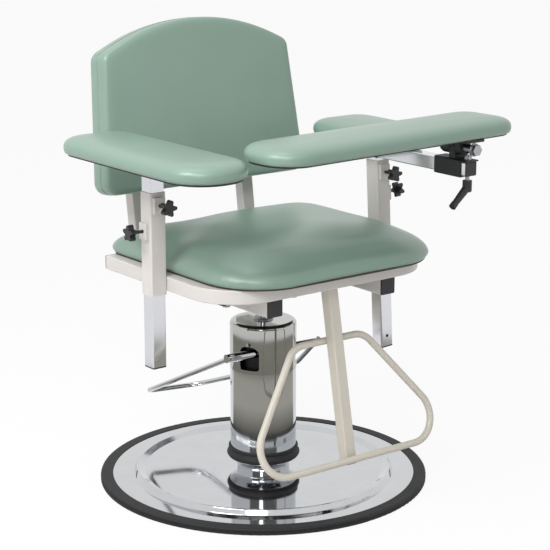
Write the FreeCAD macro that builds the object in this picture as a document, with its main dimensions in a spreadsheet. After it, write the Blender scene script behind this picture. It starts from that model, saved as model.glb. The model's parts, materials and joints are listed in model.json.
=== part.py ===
"""Phlebotomy chair on a hydraulic pump base.

Millimetres, +Z up, the sitter faces -Y and the sitter's left is +X.
The origin is the floor under the centre of the round base.
The sheet "dim" holds the sizes that can be set by themselves.
"""
import FreeCAD
import Part
import Sketcher
import math
import os

from FreeCAD import Placement, Rotation, Vector

X_AXIS = Vector(1, 0, 0)
Y_AXIS = Vector(0, 1, 0)
Z_AXIS = Vector(0, 0, 1)
HALF_TURN = 180
QUARTER_TURN = 90
EIGHTH_TURN = 45
FULL_TURN = 360

SIZES = {
    # Round base: rubber rim, pressed steel plate, neck of the pump.
    "rim_radius": 305,
    "rim_width": 23,
    "rim_height": 12,
    "rim_round": 4,
    "rim_slot_depth": 14,
    "flange_lift": 8,
    "plate_steel": 3,
    "step_inset": 62,
    "step_run": 7,
    "step_rise": 11,
    "step_round": 3,
    "dish_run": 14,
    "dish_drop": 7,
    "neck_radius": 49,
    "neck_height": 29,
    "flare_radius": 63,
    "flare_height": 10,
    "flare_lip": 1.5,
    "flare_round": 16,
    "spigot_radius": 30,
    "base_bolt_circle": 19,
    "base_bolt_radius": 5,
    "base_bolt_head_radius": 8,
    "base_bolt_head": 6,
    "base_bolt_reach": 42,
    # Bumper ring round the foot of the pump.
    "bumper_radius": 69,
    "bumper_lap": 5,
    "bumper_height": 21,
    "bumper_tuck": 4,
    "bumper_bulge": 6,
    "bumper_bulge_round": 5,
    "bumper_groove": 5.5,
    "bumper_groove_rise": 15.5,
    "bumper_lip_draw": 4,
    "bumper_lip_rise": 18,
    "bumper_round": 1.5,
    # Chrome covers of the pump.
    "tube_radius": 61.4,
    "tube_top": 212,
    "cover_radius": 62,
    "cover_top": 303,
    "cover_wall": 1.5,
    "cover_round": 8,
    "tube_seat": 6,
    "window_width": 32.5,
    "window_shift": 2.75,
    "window_low": 219,
    "window_high": 264,
    "window_round": 13,
    # Pump body, turned a little against the seat.
    "pump_turn": -4,
    "barrel_radius": 50,
    "barrel_top": 290,
    "pump_flange": 12,
    "bore_radius": 16.2,
    "bore_floor": 56,
    "gland_radius": 19,
    "gland_flange": 16,
    "gland_depth": 20,
    "fit_gap": 0.06,
    # Ram.
    "ram_radius": 11,
    "ram_low": 60,
    "piston_height": 20,
    "hub_low": 345,
    "spindle_radius": 9.5,
    "spindle_length": 17,
    "hub_radius": 25,
    "hub_chamfer": 3,
    # Pedal.
    "shaft_radius": 8,
    "shaft_half": 102,
    "shaft_y": -34,
    "shaft_z": 250.5,
    "pedal_rod_radius": 4.75,
    "pedal_arm_x": 94,
    "pedal_overhang": 13,
    "pedal_low_x": -90,
    "pedal_low_y": 283,
    "pedal_low_z": 102,
    "pedal_low_bend": 13,
    "pedal_turn_x": 16,
    "pedal_turn_y": 258,
    "pedal_turn_z": 105,
    "pedal_turn_bend": 60,
    "pedal_rise_x": 87,
    "pedal_rise_y": 16,
    "pedal_rise_z": 200,
    "pedal_rise_bend": 40,
    "grub_radius": 3,
    "grub_length": 5,
    "grub_inset": 24,
    # Mounting plate and the two beams under the seat.
    "plate_bottom": 365,
    "plate_thickness": 6,
    "plate_depth": 150,
    "plate_corner": 10,
    "plate_bolt_y": 60,
    "plate_bolt_radius": 4,
    "plate_bolt_head_radius": 7.5,
    "plate_bolt_head": 5.5,
    "beam_side": 31.75,
    "beam_wall": 2,
    "beam_corner": 3,
    "beam_gauge": 254,
    "beam_front": -200,
    "beam_rear": 233,
    "cap_flange": 3,
    "cap_depth": 12,
    "cap_round": 1.5,
    # U-shaped seat frame.
    "frame_side": 25.4,
    "frame_wall": 2,
    "frame_corner": 2.5,
    "frame_half": 241.1,
    "frame_front": -212,
    "frame_rear": 153,
    "frame_bend": 95,
    # Seat.
    "seat_over": 1.8,
    "seat_shift": 10,
    "seat_front": -253,
    "seat_rear": 190,
    "seat_front_radius": 120,
    "seat_rear_radius": 46,
    "seat_lift": 0.5,
    "seat_draw": 8,
    "seat_skirt": 10,
    "seat_edge": 36,
    "seat_edge_draw": 76,
    "seat_crown": 6,
    "seat_board": 10,
    "seat_board_inset": 12,
    "seat_notch_gap": 0.3,
    "seat_screw_radius": 3,
    "seat_screw_head": 6,
    "seat_screw_head_height": 3,
    "seat_screw_x": 85,
    # Back, leaning on two uprights.
    "back_lean": 7.7,
    "back_foot": 202.8,
    "upright_length": 335,
    "back_bottom": 123,
    "back_bottom_half": 228.5,
    "back_bottom_radius": 23.4,
    "back_shoulder_half": 209,
    "back_shoulder_radius": 22.4,
    "back_peak": 433.6,
    "back_arch_radius": 416,
    "back_thickness": 56.3,
    "back_board": 12,
    "back_board_inset": 12,
    "back_reveal": 5,
    "back_screw_low": 165,
    "back_screw_high": 300,
    # Telescoping arm posts.
    "post_y": -28,
    "post_low": 397,
    "post_high": 578,
    "post_side": 31.75,
    "post_corner": 3,
    "post_lean": 3.1,
    "arm_side": 28.2,
    "arm_wall": 1.6,
    "arm_corner": 2.5,
    "slide_gap": 0.15,
    "right_arm_low": 268,
    "left_arm_low": 212,
    "arm_hole_radius": 3,
    "arm_hole_height": 20,
    # Star knobs and their welded nuts.
    "knob_front_drop": 22,
    "knob_side_drop": 67,
    "nut_width": 22,
    "nut_length": 29,
    "nut_height": 6,
    "nut_corner": 2,
    "stud_radius": 3,
    "stud_length": 28,
    "knob_radius": 14.5,
    "knob_waist": 7.4,
    "knob_lobe": 3.5,
    "knob_thickness": 11,
    "knob_boss_radius": 6.5,
    "knob_boss": 2.5,
    # Arm pads.
    "right_pad_top": 666.4,
    "arm_pad_thickness": 33.5,
    "arm_pad_width": 145,
    "right_pad_out": 26.2,
    "right_pad_front": -287,
    "right_pad_rear": 134.5,
    "left_pad_front": -115,
    "left_pad_rear": 108.8,
    "arm_front_radius": 70,
    "arm_rear_radius": 49,
    "arm_board": 12,
    "arm_board_inset": 8,
    "arm_reveal": 2,
    "bracket_steel": 4,
    "bracket_width": 60,
    "bracket_length": 110,
    "bracket_corner": 6,
    # Slide rail of the flip arm.
    "rail_side": 25.4,
    "rail_inset": 6.975,
    "rail_high": 608.4,
    "rail_nose": -277,
    "rail_rear": 60,
    "slide_travel": 40,
    "clamp_y": -270,
    "clamp_radius": 4,
    "clamp_slack": 0.4,
    "clamp_nut": 6.5,
    "clamp_nut_radius": 7.5,
    "clamp_thread": 2,
    "sleeve_side": 31.75,
    "sleeve_front": -265,
    "sleeve_rear": -200,
    "tongue_front": -281,
    # Ratchet handle under the rail.
    "handle_gap": 5.5,
    "handle_hub_radius": 8.5,
    "handle_hub": 21,
    "handle_hub_round": 3,
    "handle_reach_x": 42,
    "handle_reach_y": 7.5,
    "handle_drop": 29.5,
    "handle_root_radius": 7.5,
    "handle_arm_radius": 5.5,
    "handle_tip_radius": 6.5,
    "handle_tip": 9,
    # Flip hinge.
    "hinge_height": 19.4,
    "hinge_radius": 13,
    "cheek_rear": -213,
    "cheek_steel": 20.8,
    "knuckle_length": 15.6,
    "knuckle_radius": 12,
    "hinge_gap": 0.3,
    "front_cheek": 12.6,
    "hinge_bolt_radius": 5,
    "friction_stack": 22,
    "friction_radius": 8,
    "washer_radius": 12,
    "washer_steel": 2,
    "hinge_head_radius": 10.5,
    "hinge_head": 8,
    "hinge_nut": 8,
    # Flip-arm pad.
    "flip_lift": 19,
    "flip_turn": 3.3,
    "flip_centre_y": -242.1,
    "flip_over": 103.5,
    "flip_gap": 1.575,
    "flip_half_width": 71.4,
    "flip_inner_radius": 61.3,
    "flip_outer_radius": 49,
    "flip_thickness": 33.3,
    "flip_reveal": 1.5,
    "flip_foot": 4,
    "flip_foot_out": 30,
    "flip_foot_length": 84,
    # Footrest.
    "strut_side": 22.2,
    "strut_wall": 2,
    "strut_corner": 2.5,
    "strut_lean": 10.5,
    "strut_y": -191,
    "strut_length": 313,
    "loop_radius": 6.35,
    "loop_low_half": 242,
    "loop_low_bend": 49,
    "loop_high_half": 79,
    "loop_high_bend": 43,
    "loop_low_inset": 6.4,
    "loop_high_along": 95.2,
}

doc = FreeCAD.newDocument("PhlebotomyChair")
sheet = doc.addObject("Spreadsheet::Sheet", "dim")
for row, (alias, size) in enumerate(SIZES.items(), start=1):
    sheet.set(f"A{row}", alias)
    sheet.set(f"B{row}", str(size))
    sheet.setAlias(f"B{row}", alias)
doc.recompute()

SUB_PARTS = []

# A rounded end's radius as a share of its half width.
ROUND_SHARE = 0.98

# Shares of a cushion's height and how far each level is drawn in, as shares of that height.
PAD_LEVEL_SHARES = (0, 0.1, 0.35, 0.6, 0.8, 0.93, 1)
PAD_INSET_SHARES = (0.12, 0.09, 0, 0.09, 0.36, 0.85, 1.5)
# The seat's edge is a quarter ellipse, given as shares of its quarter turn.
SEAT_EDGE_SHARES = (0, 0.2, 0.4, 0.6, 0.8, 1)
# Above it the seat swells to its middle: shares of the outline's size and of the crown.
SEAT_CROWN_SHARES = ((0.7, 0.55), (0.35, 0.9), (0.08, 1))
# How far along the shoulder's half width the arched top is round before it runs straight.
BACK_ARCH_SHARE = 0.93
BACK_LEVEL_SHARES = (0, 0.14, 0.35, 0.82, 0.92, 0.98, 1)
BACK_INSET_SHARES = (0.1, 0, 0, 0, 0.06, 0.16, 0.3)


def value(expression):
    """The number that an expression over the sheet stands for."""
    result = sheet.evalExpression(str(expression))
    return float(getattr(result, "Value", result))


class Dimensions:
    """Sizes of the sheet read by name, for pieces whose shape is set here."""

    def __getattr__(self, alias):
        return float(sheet.get(alias))


dim = Dimensions()


# Heights and places that follow from the sizes.
FLANGE_TOP = "(dim.flange_lift + dim.plate_steel)"
STEP_TOP = f"({FLANGE_TOP} + dim.step_rise)"
PLATEAU_TOP = f"({STEP_TOP} - dim.dish_drop)"
NECK_TOP = f"({PLATEAU_TOP} + dim.neck_height)"
BUMPER_LOW = f"({NECK_TOP} - dim.bumper_lap)"
FLARE_TOP = f"({BUMPER_LOW} - dim.flare_lip)"
TUBE_LOW = f"({NECK_TOP} + dim.tube_seat)"
BUMPER_TOP = f"({BUMPER_LOW} + dim.bumper_height)"
BEAM_BOTTOM = "(dim.plate_bottom + dim.plate_thickness)"
FRAME_BOTTOM = f"({BEAM_BOTTOM} + dim.beam_side)"
FRAME_TOP = f"({FRAME_BOTTOM} + dim.frame_side)"
BEAM_X = "(dim.beam_gauge / 2)"
POST_X = "(dim.frame_half + dim.post_side / 2)"
RAIL_X = f"({POST_X} - dim.rail_inset)"
RAIL_LOW = "(dim.rail_high - dim.rail_side)"
RAIL_MIDDLE = "(dim.rail_high - dim.rail_side / 2)"
SLEEVE_TOP = f"({RAIL_MIDDLE} + dim.sleeve_side / 2)"
SLEEVE_LOW = f"({RAIL_MIDDLE} - dim.sleeve_side / 2)"
HINGE_Z = f"({SLEEVE_TOP} + dim.hinge_height)"
RIGHT_BOARD = "(dim.right_pad_top - dim.arm_pad_thickness - dim.arm_reveal)"
RIGHT_TUBE_TOP = f"({RIGHT_BOARD} - dim.bracket_steel)"
TUBE_BORE = "(dim.arm_side + 2 * dim.slide_gap)"
RAIL_BORE = "(dim.rail_side + 2 * dim.slide_gap)"
BORE_CORNER = "(dim.arm_corner - dim.slide_gap)"
LEFT_POST = Placement(
    Vector(value(POST_X), dim.post_y, value(FRAME_TOP)),
    Rotation(Y_AXIS, -dim.post_lean),
)
BACK = Placement(
    Vector(0, dim.back_foot, value(FRAME_BOTTOM)),
    Rotation(X_AXIS, -dim.back_lean),
)
PUMP = Placement(Vector(0, 0, 0), Rotation(Z_AXIS, dim.pump_turn))


# Sketches and features.


def new_body(label):
    body = doc.addObject("PartDesign::Body", label)
    body.Label = label
    SUB_PARTS.append(body)
    return body


def new_sketch(body, plane, offset=None):
    """A sketch on one of the body's origin planes, moved along its normal."""
    origin = body.Origin.OriginFeatures
    support = next(feature for feature in origin if feature.Role == plane)
    sketch = body.newObject("Sketcher::SketchObject", "Sketch")
    sketch.AttachmentSupport = [(support, "")]
    sketch.MapMode = "FlatFace"
    if offset is not None:
        sketch.setExpression("AttachmentOffset.Base.z", offset)
    return sketch


def hold(sketch, kind, *arguments, size=None):
    """Adds a constraint, and binds it to the sheet if it has a size."""
    if size is None:
        return sketch.addConstraint(Sketcher.Constraint(kind, *arguments))
    index = sketch.addConstraint(Sketcher.Constraint(kind, *arguments, value(size)))
    sketch.setExpression(f"Constraints[{index}]", str(size))
    return index


def corner_arc(before, corner, after, radius):
    """Entry, exit, centre and turn of the arc that rounds a corner."""
    inward = (corner - before).normalize()
    outward = (after - corner).normalize()
    turn = inward.getAngle(outward)
    reach = radius * math.tan(turn / 2)
    entry = corner - inward * reach
    leave = corner + outward * reach
    bisector = (outward - inward).normalize()
    centre = corner + bisector * (radius / math.cos(turn / 2))
    left = inward.cross(outward).z > 0
    return entry, leave, centre, left


def outline(sketch, corners, closed=True):
    """Straight runs through the corners, each (x, y) or (x, y, radius)."""
    count = len(corners)
    points = [Vector(value(corner[0]), value(corner[1]), 0) for corner in corners]
    arcs = {}
    for index, corner in enumerate(corners):
        inner = closed or 0 < index < count - 1
        if inner and len(corner) > 2:
            before = points[index - 1]
            after = points[(index + 1) % count]
            radius = value(corner[2])
            arcs[index] = corner_arc(before, points[index], after, radius)
    runs = count if closed else count - 1
    first = sketch.GeometryCount
    for index in range(runs):
        follower = (index + 1) % count
        start = arcs[index][1] if index in arcs else points[index]
        end = arcs[follower][0] if follower in arcs else points[follower]
        sketch.addGeometry(Part.LineSegment(start, end), False)
    for index, corner in enumerate(corners):
        line_out = first + index if index < runs else None
        line_in = first + (index - 1) % count if closed or index else None
        if index not in arcs:
            line, end = (line_out, 1) if line_out is not None else (line_in, 2)
            hold(sketch, "DistanceX", line, end, size=corner[0])
            hold(sketch, "DistanceY", line, end, size=corner[1])
            if line_in is not None and line_out is not None:
                hold(sketch, "Coincident", line_in, 2, line_out, 1)
            continue
        entry, leave, centre, left = arcs[index]
        radius = value(corner[2])
        start, end = (entry, leave) if left else (leave, entry)
        low = math.atan2(start.y - centre.y, start.x - centre.x)
        high = math.atan2(end.y - centre.y, end.x - centre.x)
        if high < low:
            high += 2 * math.pi
        circle = Part.Circle(centre, Z_AXIS, radius)
        arc = sketch.addGeometry(Part.ArcOfCircle(circle, low, high), False)
        point = sketch.addGeometry(Part.Point(points[index]), True)
        first_end, last_end = (1, 2) if left else (2, 1)
        hold(sketch, "DistanceX", point, 1, size=corner[0])
        hold(sketch, "DistanceY", point, 1, size=corner[1])
        hold(sketch, "PointOnObject", point, 1, line_in)
        hold(sketch, "PointOnObject", point, 1, line_out)
        hold(sketch, "Tangent", line_in, 2, arc, first_end)
        hold(sketch, "Tangent", arc, last_end, line_out, 1)
        hold(sketch, "Radius", arc, size=corner[2])


def square(sketch, side, corner=None, width=None, x="0", y="0"):
    """A rectangle about a point, with rounded corners."""
    half_x = f"{width or side} / 2"
    half_y = f"{side} / 2"
    rounding = () if corner is None else (corner,)
    outline(sketch, (
        (f"{x} - {half_x}", f"{y} - {half_y}", *rounding),
        (f"{x} + {half_x}", f"{y} - {half_y}", *rounding),
        (f"{x} + {half_x}", f"{y} + {half_y}", *rounding),
        (f"{x} - {half_x}", f"{y} + {half_y}", *rounding),
    ))


def circle(sketch, radius, x="0", y="0"):
    centre = Vector(value(x), value(y), 0)
    index = sketch.addGeometry(Part.Circle(centre, Z_AXIS, value(radius)), False)
    hold(sketch, "DistanceX", index, 3, size=x)
    hold(sketch, "DistanceY", index, 3, size=y)
    hold(sketch, "Radius", index, size=radius)


def pad(body, sketch, length, reverse=False, middle=False):
    feature = body.newObject("PartDesign::Pad", "Pad")
    feature.Profile = sketch
    feature.setExpression("Length", length)
    feature.Reversed = reverse
    if middle:
        feature.SideType = "Symmetric"
    sketch.Visibility = False
    return feature


def pocket(body, sketch, length=None, reverse=False, middle=False):
    """Cuts along the sketch's normal, both ways if middle, through if no length."""
    doc.recompute()
    feature = body.newObject("PartDesign::Pocket", "Pocket")
    feature.Profile = sketch
    if length is None:
        feature.Type = "ThroughAll"
    else:
        feature.setExpression("Length", length)
    feature.Reversed = reverse
    if middle:
        feature.SideType = "Symmetric"
    sketch.Visibility = False
    return feature


def turned(label, corners):
    """A piece turned about +Z from its (radius, height) profile."""
    body = new_body(label)
    sketch = new_sketch(body, "XZ_Plane")
    outline(sketch, corners)
    feature = body.newObject("PartDesign::Revolution", "Revolution")
    feature.Profile = sketch
    feature.ReferenceAxis = (sketch, ["V_Axis"])
    feature.Angle = FULL_TURN
    return body


def square_tube(label, side, corner, wall, length, start="0"):
    """A rounded square tube along +Z of its own body."""
    body = new_body(label)
    sketch = new_sketch(body, "XY_Plane", start)
    square(sketch, side, corner)
    square(sketch, f"({side} - 2 * {wall})", f"({corner} / 2)")
    pad(body, sketch, length)
    return body


def flat_plate(label, corners, thickness, height=None):
    body = new_body(label)
    sketch = new_sketch(body, "XY_Plane", height)
    outline(sketch, corners)
    pad(body, sketch, thickness)
    return body


def drill(body, plane, radius, x="0", y="0", length=None, offset=None, reverse=False, middle=False):
    sketch = new_sketch(body, plane, offset)
    circle(sketch, radius, x, y)
    return pocket(body, sketch, length, reverse, middle)


def place(piece, placement):
    piece.Placement = placement
    return piece


def put(piece, x="0", y="0", z="0", axis=None, angle=None):
    """Binds a piece's place to the sheet."""
    if axis is not None:
        piece.Placement = Placement(Vector(0, 0, 0), Rotation(axis, value(angle)))
    for name, expression in (("x", x), ("y", y), ("z", z)):
        if expression != "0":
            piece.setExpression(f"Placement.Base.{name}", expression)
    return piece


# Shapes set in code.


def shaped(label, shape, placement=None):
    """A sub-part whose shape is built with Part's own functions."""
    piece = doc.addObject("Part::Feature", label)
    piece.Label = label
    piece.Shape = shape
    if placement is not None:
        piece.Placement = placement
    SUB_PARTS.append(piece)
    return piece


def rounded_wire(corners, height=0.0):
    """A closed wire of lines and arcs through (x, y, radius) corners."""
    points = [Vector(x, y, height) for x, y, radius in corners]
    count = len(points)
    arcs = []
    for index, (x, y, radius) in enumerate(corners):
        before = points[index - 1]
        after = points[(index + 1) % count]
        arcs.append(corner_arc(before, points[index], after, radius))
    edges = []
    for index, (entry, leave, centre, left) in enumerate(arcs):
        radius = corners[index][2]
        middle = centre + (points[index] - centre).normalize() * radius
        edges.append(Part.Arc(entry, middle, leave).toShape())
        edges.append(Part.makeLine(leave, arcs[(index + 1) % count][0]))
    return Part.Wire(edges)


def rounded_path(corners):
    """An open wire of lines and arcs through 3-D (point, radius) corners."""
    edges = []
    last = corners[0][0]
    for index in range(1, len(corners) - 1):
        before = corners[index - 1][0]
        corner, radius = corners[index]
        after = corners[index + 1][0]
        entry, leave, centre, left = corner_arc(before, corner, after, radius)
        middle = centre + (corner - centre).normalize() * radius
        edges.append(Part.makeLine(last, entry))
        edges.append(Part.Arc(entry, middle, leave).toShape())
        last = leave
    edges.append(Part.makeLine(last, corners[-1][0]))
    return Part.Wire(edges)


def round_bar(path, radius):
    """A solid round bar bent along a wire."""
    start = path.Edges[0]
    direction = start.tangentAt(start.FirstParameter)
    section = Part.Wire(Part.makeCircle(radius, start.Vertexes[0].Point, direction))
    return path.makePipeShell([section], True, True)


def hexagon(radius, height, base, direction=Z_AXIS, turn=0):
    """A hexagonal prism given by its corner radius."""
    points = []
    sides = 6
    for index in range(sides + 1):
        angle = math.radians(FULL_TURN * index / sides + turn)
        points.append(Vector(radius * math.cos(angle), radius * math.sin(angle), 0))
    prism = Part.Face(Part.makePolygon(points)).extrude(Z_AXIS * height)
    prism.Placement = Placement(base, Rotation(Z_AXIS, direction))
    return prism


def screw(head_radius, head, shank_radius, shank, base, direction):
    """A hexagon-head screw; base is under its head, direction along its shank."""
    top = hexagon(head_radius, head, base, direction * -1)
    rod = Part.makeCylinder(shank_radius, shank, base, direction)
    return top.fuse(rod).removeSplitter()


def rectangle_corners(x_low, x_high, y_low, y_high, front_radius, rear_radius):
    return [
        (x_low, y_low, front_radius),
        (x_high, y_low, front_radius),
        (x_high, y_high, rear_radius),
        (x_low, y_high, rear_radius),
    ]


def inset_corners(corners, inset, least):
    """Rectangle corners drawn in on every side."""
    x_middle = (corners[0][0] + corners[1][0]) / 2
    y_middle = (corners[0][1] + corners[2][1]) / 2
    drawn = []
    for x, y, radius in corners:
        x_in = x + inset if x < x_middle else x - inset
        y_in = y + inset if y < y_middle else y - inset
        drawn.append((x_in, y_in, max(radius - inset, least)))
    return drawn


def arm_cushion(corners, low, thickness):
    """A crowned arm pad with a drawn-in foot."""
    least = thickness * min(share for share in PAD_INSET_SHARES if share)
    wires = []
    for level, draw in zip(PAD_LEVEL_SHARES, PAD_INSET_SHARES):
        drawn = inset_corners(corners, draw * thickness, least)
        wires.append(rounded_wire(drawn, low + level * thickness))
    return Part.makeLoft(wires, True, True)


def pad_board(corners, inset, low, thickness):
    drawn = inset_corners(corners, inset, inset)
    return Part.Face(rounded_wire(drawn, low)).extrude(Z_AXIS * thickness)


# Round base.

SKIRT_SHARE = 0.8
SKIRT_DRAW = f"({SKIRT_SHARE} * dim.plate_steel)"
STEP_RADIUS = "(dim.rim_radius - dim.step_inset)"
STEP_EDGE = f"({STEP_RADIUS} - dim.step_run)"
DISH_EDGE = f"({STEP_EDGE} - dim.dish_run)"
# The plate steps up to a ring and is dished inside it.
turned("base_plate", (
    ("dim.rim_radius - dim.rim_width + dim.rim_slot_depth", "dim.flange_lift"),
    ("dim.rim_radius - dim.rim_width + dim.rim_slot_depth", FLANGE_TOP),
    (STEP_RADIUS, FLANGE_TOP, "dim.step_round"),
    (STEP_EDGE, STEP_TOP, "dim.step_round"),
    (DISH_EDGE, PLATEAU_TOP, "dim.step_round"),
    ("dim.spigot_radius", PLATEAU_TOP),
    ("dim.spigot_radius", f"{PLATEAU_TOP} - dim.plate_steel"),
    (DISH_EDGE, f"{PLATEAU_TOP} - dim.plate_steel"),
    (f"{STEP_EDGE} - {SKIRT_DRAW}", f"{STEP_TOP} - dim.plate_steel"),
    (f"{STEP_RADIUS} - {SKIRT_DRAW}", "dim.flange_lift"),
))

turned("base_rim", (
    ("dim.rim_radius - dim.rim_width", "0"),
    ("dim.rim_radius", "0", "dim.rim_round / 2"),
    ("dim.rim_radius", "dim.rim_height", "dim.rim_round"),
    ("dim.rim_radius - dim.rim_width", "dim.rim_height"),
    ("dim.rim_radius - dim.rim_width", FLANGE_TOP),
    ("dim.rim_radius - dim.rim_width + dim.rim_slot_depth", FLANGE_TOP),
    ("dim.rim_radius - dim.rim_width + dim.rim_slot_depth", "dim.flange_lift"),
    ("dim.rim_radius - dim.rim_width", "dim.flange_lift"),
))

# The neck flares out under the bumper.
neck = turned("base_neck", (
    ("0", f"{PLATEAU_TOP} - dim.plate_steel"),
    ("dim.spigot_radius", f"{PLATEAU_TOP} - dim.plate_steel"),
    ("dim.spigot_radius", PLATEAU_TOP),
    ("dim.neck_radius", PLATEAU_TOP),
    ("dim.neck_radius", f"{FLARE_TOP} - dim.flare_height", "dim.flare_round"),
    ("dim.flare_radius", FLARE_TOP),
    ("dim.flare_radius", BUMPER_LOW),
    ("dim.neck_radius", BUMPER_LOW),
    ("dim.neck_radius", NECK_TOP),
    ("0", NECK_TOP),
))

BASE_BOLTS = 4


def polar_pattern(body, feature, count):
    doc.recompute()
    pattern = body.newObject("PartDesign::PolarPattern", "PolarPattern")
    pattern.Originals = [feature]
    pattern.Axis = (next(f for f in body.Origin.OriginFeatures if f.Role == "Z_Axis"), [""])
    pattern.Angle = FULL_TURN
    pattern.Occurrences = count
    body.Tip = pattern
    return pattern


neck_hole = drill(neck, "XY_Plane", "dim.base_bolt_radius", "dim.base_bolt_circle", middle=True)
polar_pattern(neck, neck_hole, BASE_BOLTS)
place(neck, PUMP)

bolts = []
for index in range(BASE_BOLTS):
    angle = math.radians(FULL_TURN * index / BASE_BOLTS)
    under = Vector(
        dim.base_bolt_circle * math.cos(angle),
        dim.base_bolt_circle * math.sin(angle),
        value(PLATEAU_TOP) - dim.plate_steel,
    )
    bolts.append(screw(dim.base_bolt_head_radius, dim.base_bolt_head, dim.base_bolt_radius,
                       dim.base_bolt_reach, under, Z_AXIS))
shaped("base_bolts", Part.makeCompound(bolts), PUMP)

turned("bumper_ring", (
    ("dim.neck_radius", BUMPER_LOW),
    ("dim.bumper_radius - dim.bumper_tuck", BUMPER_LOW, "dim.bumper_round"),
    ("dim.bumper_radius", f"{BUMPER_LOW} + dim.bumper_bulge", "dim.bumper_bulge_round"),
    ("dim.bumper_radius - dim.bumper_groove", f"{BUMPER_LOW} + dim.bumper_groove_rise"),
    ("dim.bumper_radius - dim.bumper_lip_draw", f"{BUMPER_LOW} + dim.bumper_lip_rise"),
    ("dim.bumper_radius - dim.bumper_lip_draw", BUMPER_TOP, "dim.bumper_round"),
    ("dim.tube_radius", BUMPER_TOP),
    ("dim.tube_radius", TUBE_LOW),
    ("dim.neck_radius", TUBE_LOW),
))

turned("pump_tube", (
    ("dim.tube_radius - dim.cover_wall", TUBE_LOW),
    ("dim.tube_radius", TUBE_LOW),
    ("dim.tube_radius", "dim.tube_top"),
    ("dim.tube_radius - dim.cover_wall", "dim.tube_top"),
))

# Pump.

FLANGE_RADIUS = "(dim.tube_radius - dim.cover_wall)"
cover = turned("pump_cover", (
    (FLANGE_RADIUS, "dim.tube_top"),
    ("dim.cover_radius", "dim.tube_top"),
    ("dim.cover_radius", "dim.cover_top", "dim.cover_round"),
    ("dim.gland_radius", "dim.cover_top"),
    ("dim.gland_radius", "dim.cover_top - dim.cover_wall"),
    (FLANGE_RADIUS, "dim.cover_top - dim.cover_wall", "dim.cover_round - dim.cover_wall"),
))
WINDOW_SIDE = "(dim.window_width / 2)"
WINDOW_Y = "(dim.shaft_y + dim.window_shift)"
for reverse in (False, True):
    window = new_sketch(cover, "YZ_Plane")
    outline(window, (
        (f"{WINDOW_Y} - {WINDOW_SIDE}", "dim.window_low", "dim.window_round / 3"),
        (f"{WINDOW_Y} + {WINDOW_SIDE}", "dim.window_low", "dim.window_round / 3"),
        (f"{WINDOW_Y} + {WINDOW_SIDE}", "dim.window_high", "dim.window_round"),
        (f"{WINDOW_Y} - {WINDOW_SIDE}", "dim.window_high", "dim.window_round"),
    ))
    pocket(cover, window, reverse=reverse)
place(cover, PUMP)

body = turned("pump_body", (
    ("0", NECK_TOP),
    ("dim.neck_radius", NECK_TOP),
    ("dim.neck_radius", TUBE_LOW),
    (FLANGE_RADIUS, TUBE_LOW),
    (FLANGE_RADIUS, f"{TUBE_LOW} + dim.pump_flange"),
    ("dim.barrel_radius", f"{TUBE_LOW} + dim.pump_flange"),
    ("dim.barrel_radius", "dim.tube_top - dim.pump_flange"),
    (FLANGE_RADIUS, "dim.tube_top - dim.pump_flange"),
    (FLANGE_RADIUS, "dim.window_low"),
    ("dim.barrel_radius", "dim.window_low"),
    ("dim.barrel_radius", "dim.barrel_top"),
    ("dim.bore_radius", "dim.barrel_top"),
    ("dim.bore_radius", "dim.bore_floor"),
    ("0", "dim.bore_floor"),
))
drill(body, "YZ_Plane", "dim.shaft_radius + dim.fit_gap", "dim.shaft_y", "dim.shaft_z", middle=True)
body_hole = drill(body, "XY_Plane", "dim.base_bolt_radius", "dim.base_bolt_circle",
                  length=f"{PLATEAU_TOP} - dim.plate_steel + dim.base_bolt_reach", reverse=True)
polar_pattern(body, body_hole, BASE_BOLTS)
place(body, PUMP)

turned("gland_nut", (
    ("dim.ram_radius + dim.fit_gap", "dim.barrel_top - dim.gland_depth"),
    ("dim.bore_radius", "dim.barrel_top - dim.gland_depth"),
    ("dim.bore_radius", "dim.barrel_top"),
    ("dim.gland_radius", "dim.barrel_top"),
    ("dim.gland_radius", "dim.barrel_top + dim.gland_flange", "dim.hub_chamfer / 2"),
    ("dim.ram_radius + dim.fit_gap", "dim.barrel_top + dim.gland_flange"),
))

turned("piston_ram", (
    ("0", "dim.ram_low"),
    ("dim.bore_radius - dim.fit_gap", "dim.ram_low"),
    ("dim.bore_radius - dim.fit_gap", "dim.ram_low + dim.piston_height"),
    ("dim.ram_radius", "dim.ram_low + dim.piston_height"),
    ("dim.ram_radius", "dim.hub_low"),
    ("dim.spindle_radius", "dim.hub_low"),
    ("dim.spindle_radius", "dim.hub_low + dim.spindle_length"),
    ("0", "dim.hub_low + dim.spindle_length"),
))

# Pedal.

left_pin = Vector(-dim.pedal_arm_x, dim.shaft_y, dim.shaft_z)
right_pin = Vector(dim.pedal_arm_x, dim.shaft_y, dim.shaft_z)
low_corner = Vector(dim.pedal_low_x, dim.pedal_low_y, dim.pedal_low_z)
turn_corner = Vector(dim.pedal_turn_x, dim.pedal_turn_y, dim.pedal_turn_z)
rise_corner = Vector(dim.pedal_rise_x, dim.pedal_rise_y, dim.pedal_rise_z)
left_end = left_pin - (low_corner - left_pin).normalize() * dim.pedal_overhang
right_end = right_pin - (rise_corner - right_pin).normalize() * dim.pedal_overhang
pedal_path = rounded_path((
    (left_end, 0),
    (low_corner, dim.pedal_low_bend),
    (turn_corner, dim.pedal_turn_bend),
    (rise_corner, dim.pedal_rise_bend),
    (right_end, 0),
))
pedal_bar = round_bar(pedal_path, dim.pedal_rod_radius)
shaped("pedal_rod", pedal_bar, PUMP)

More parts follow.
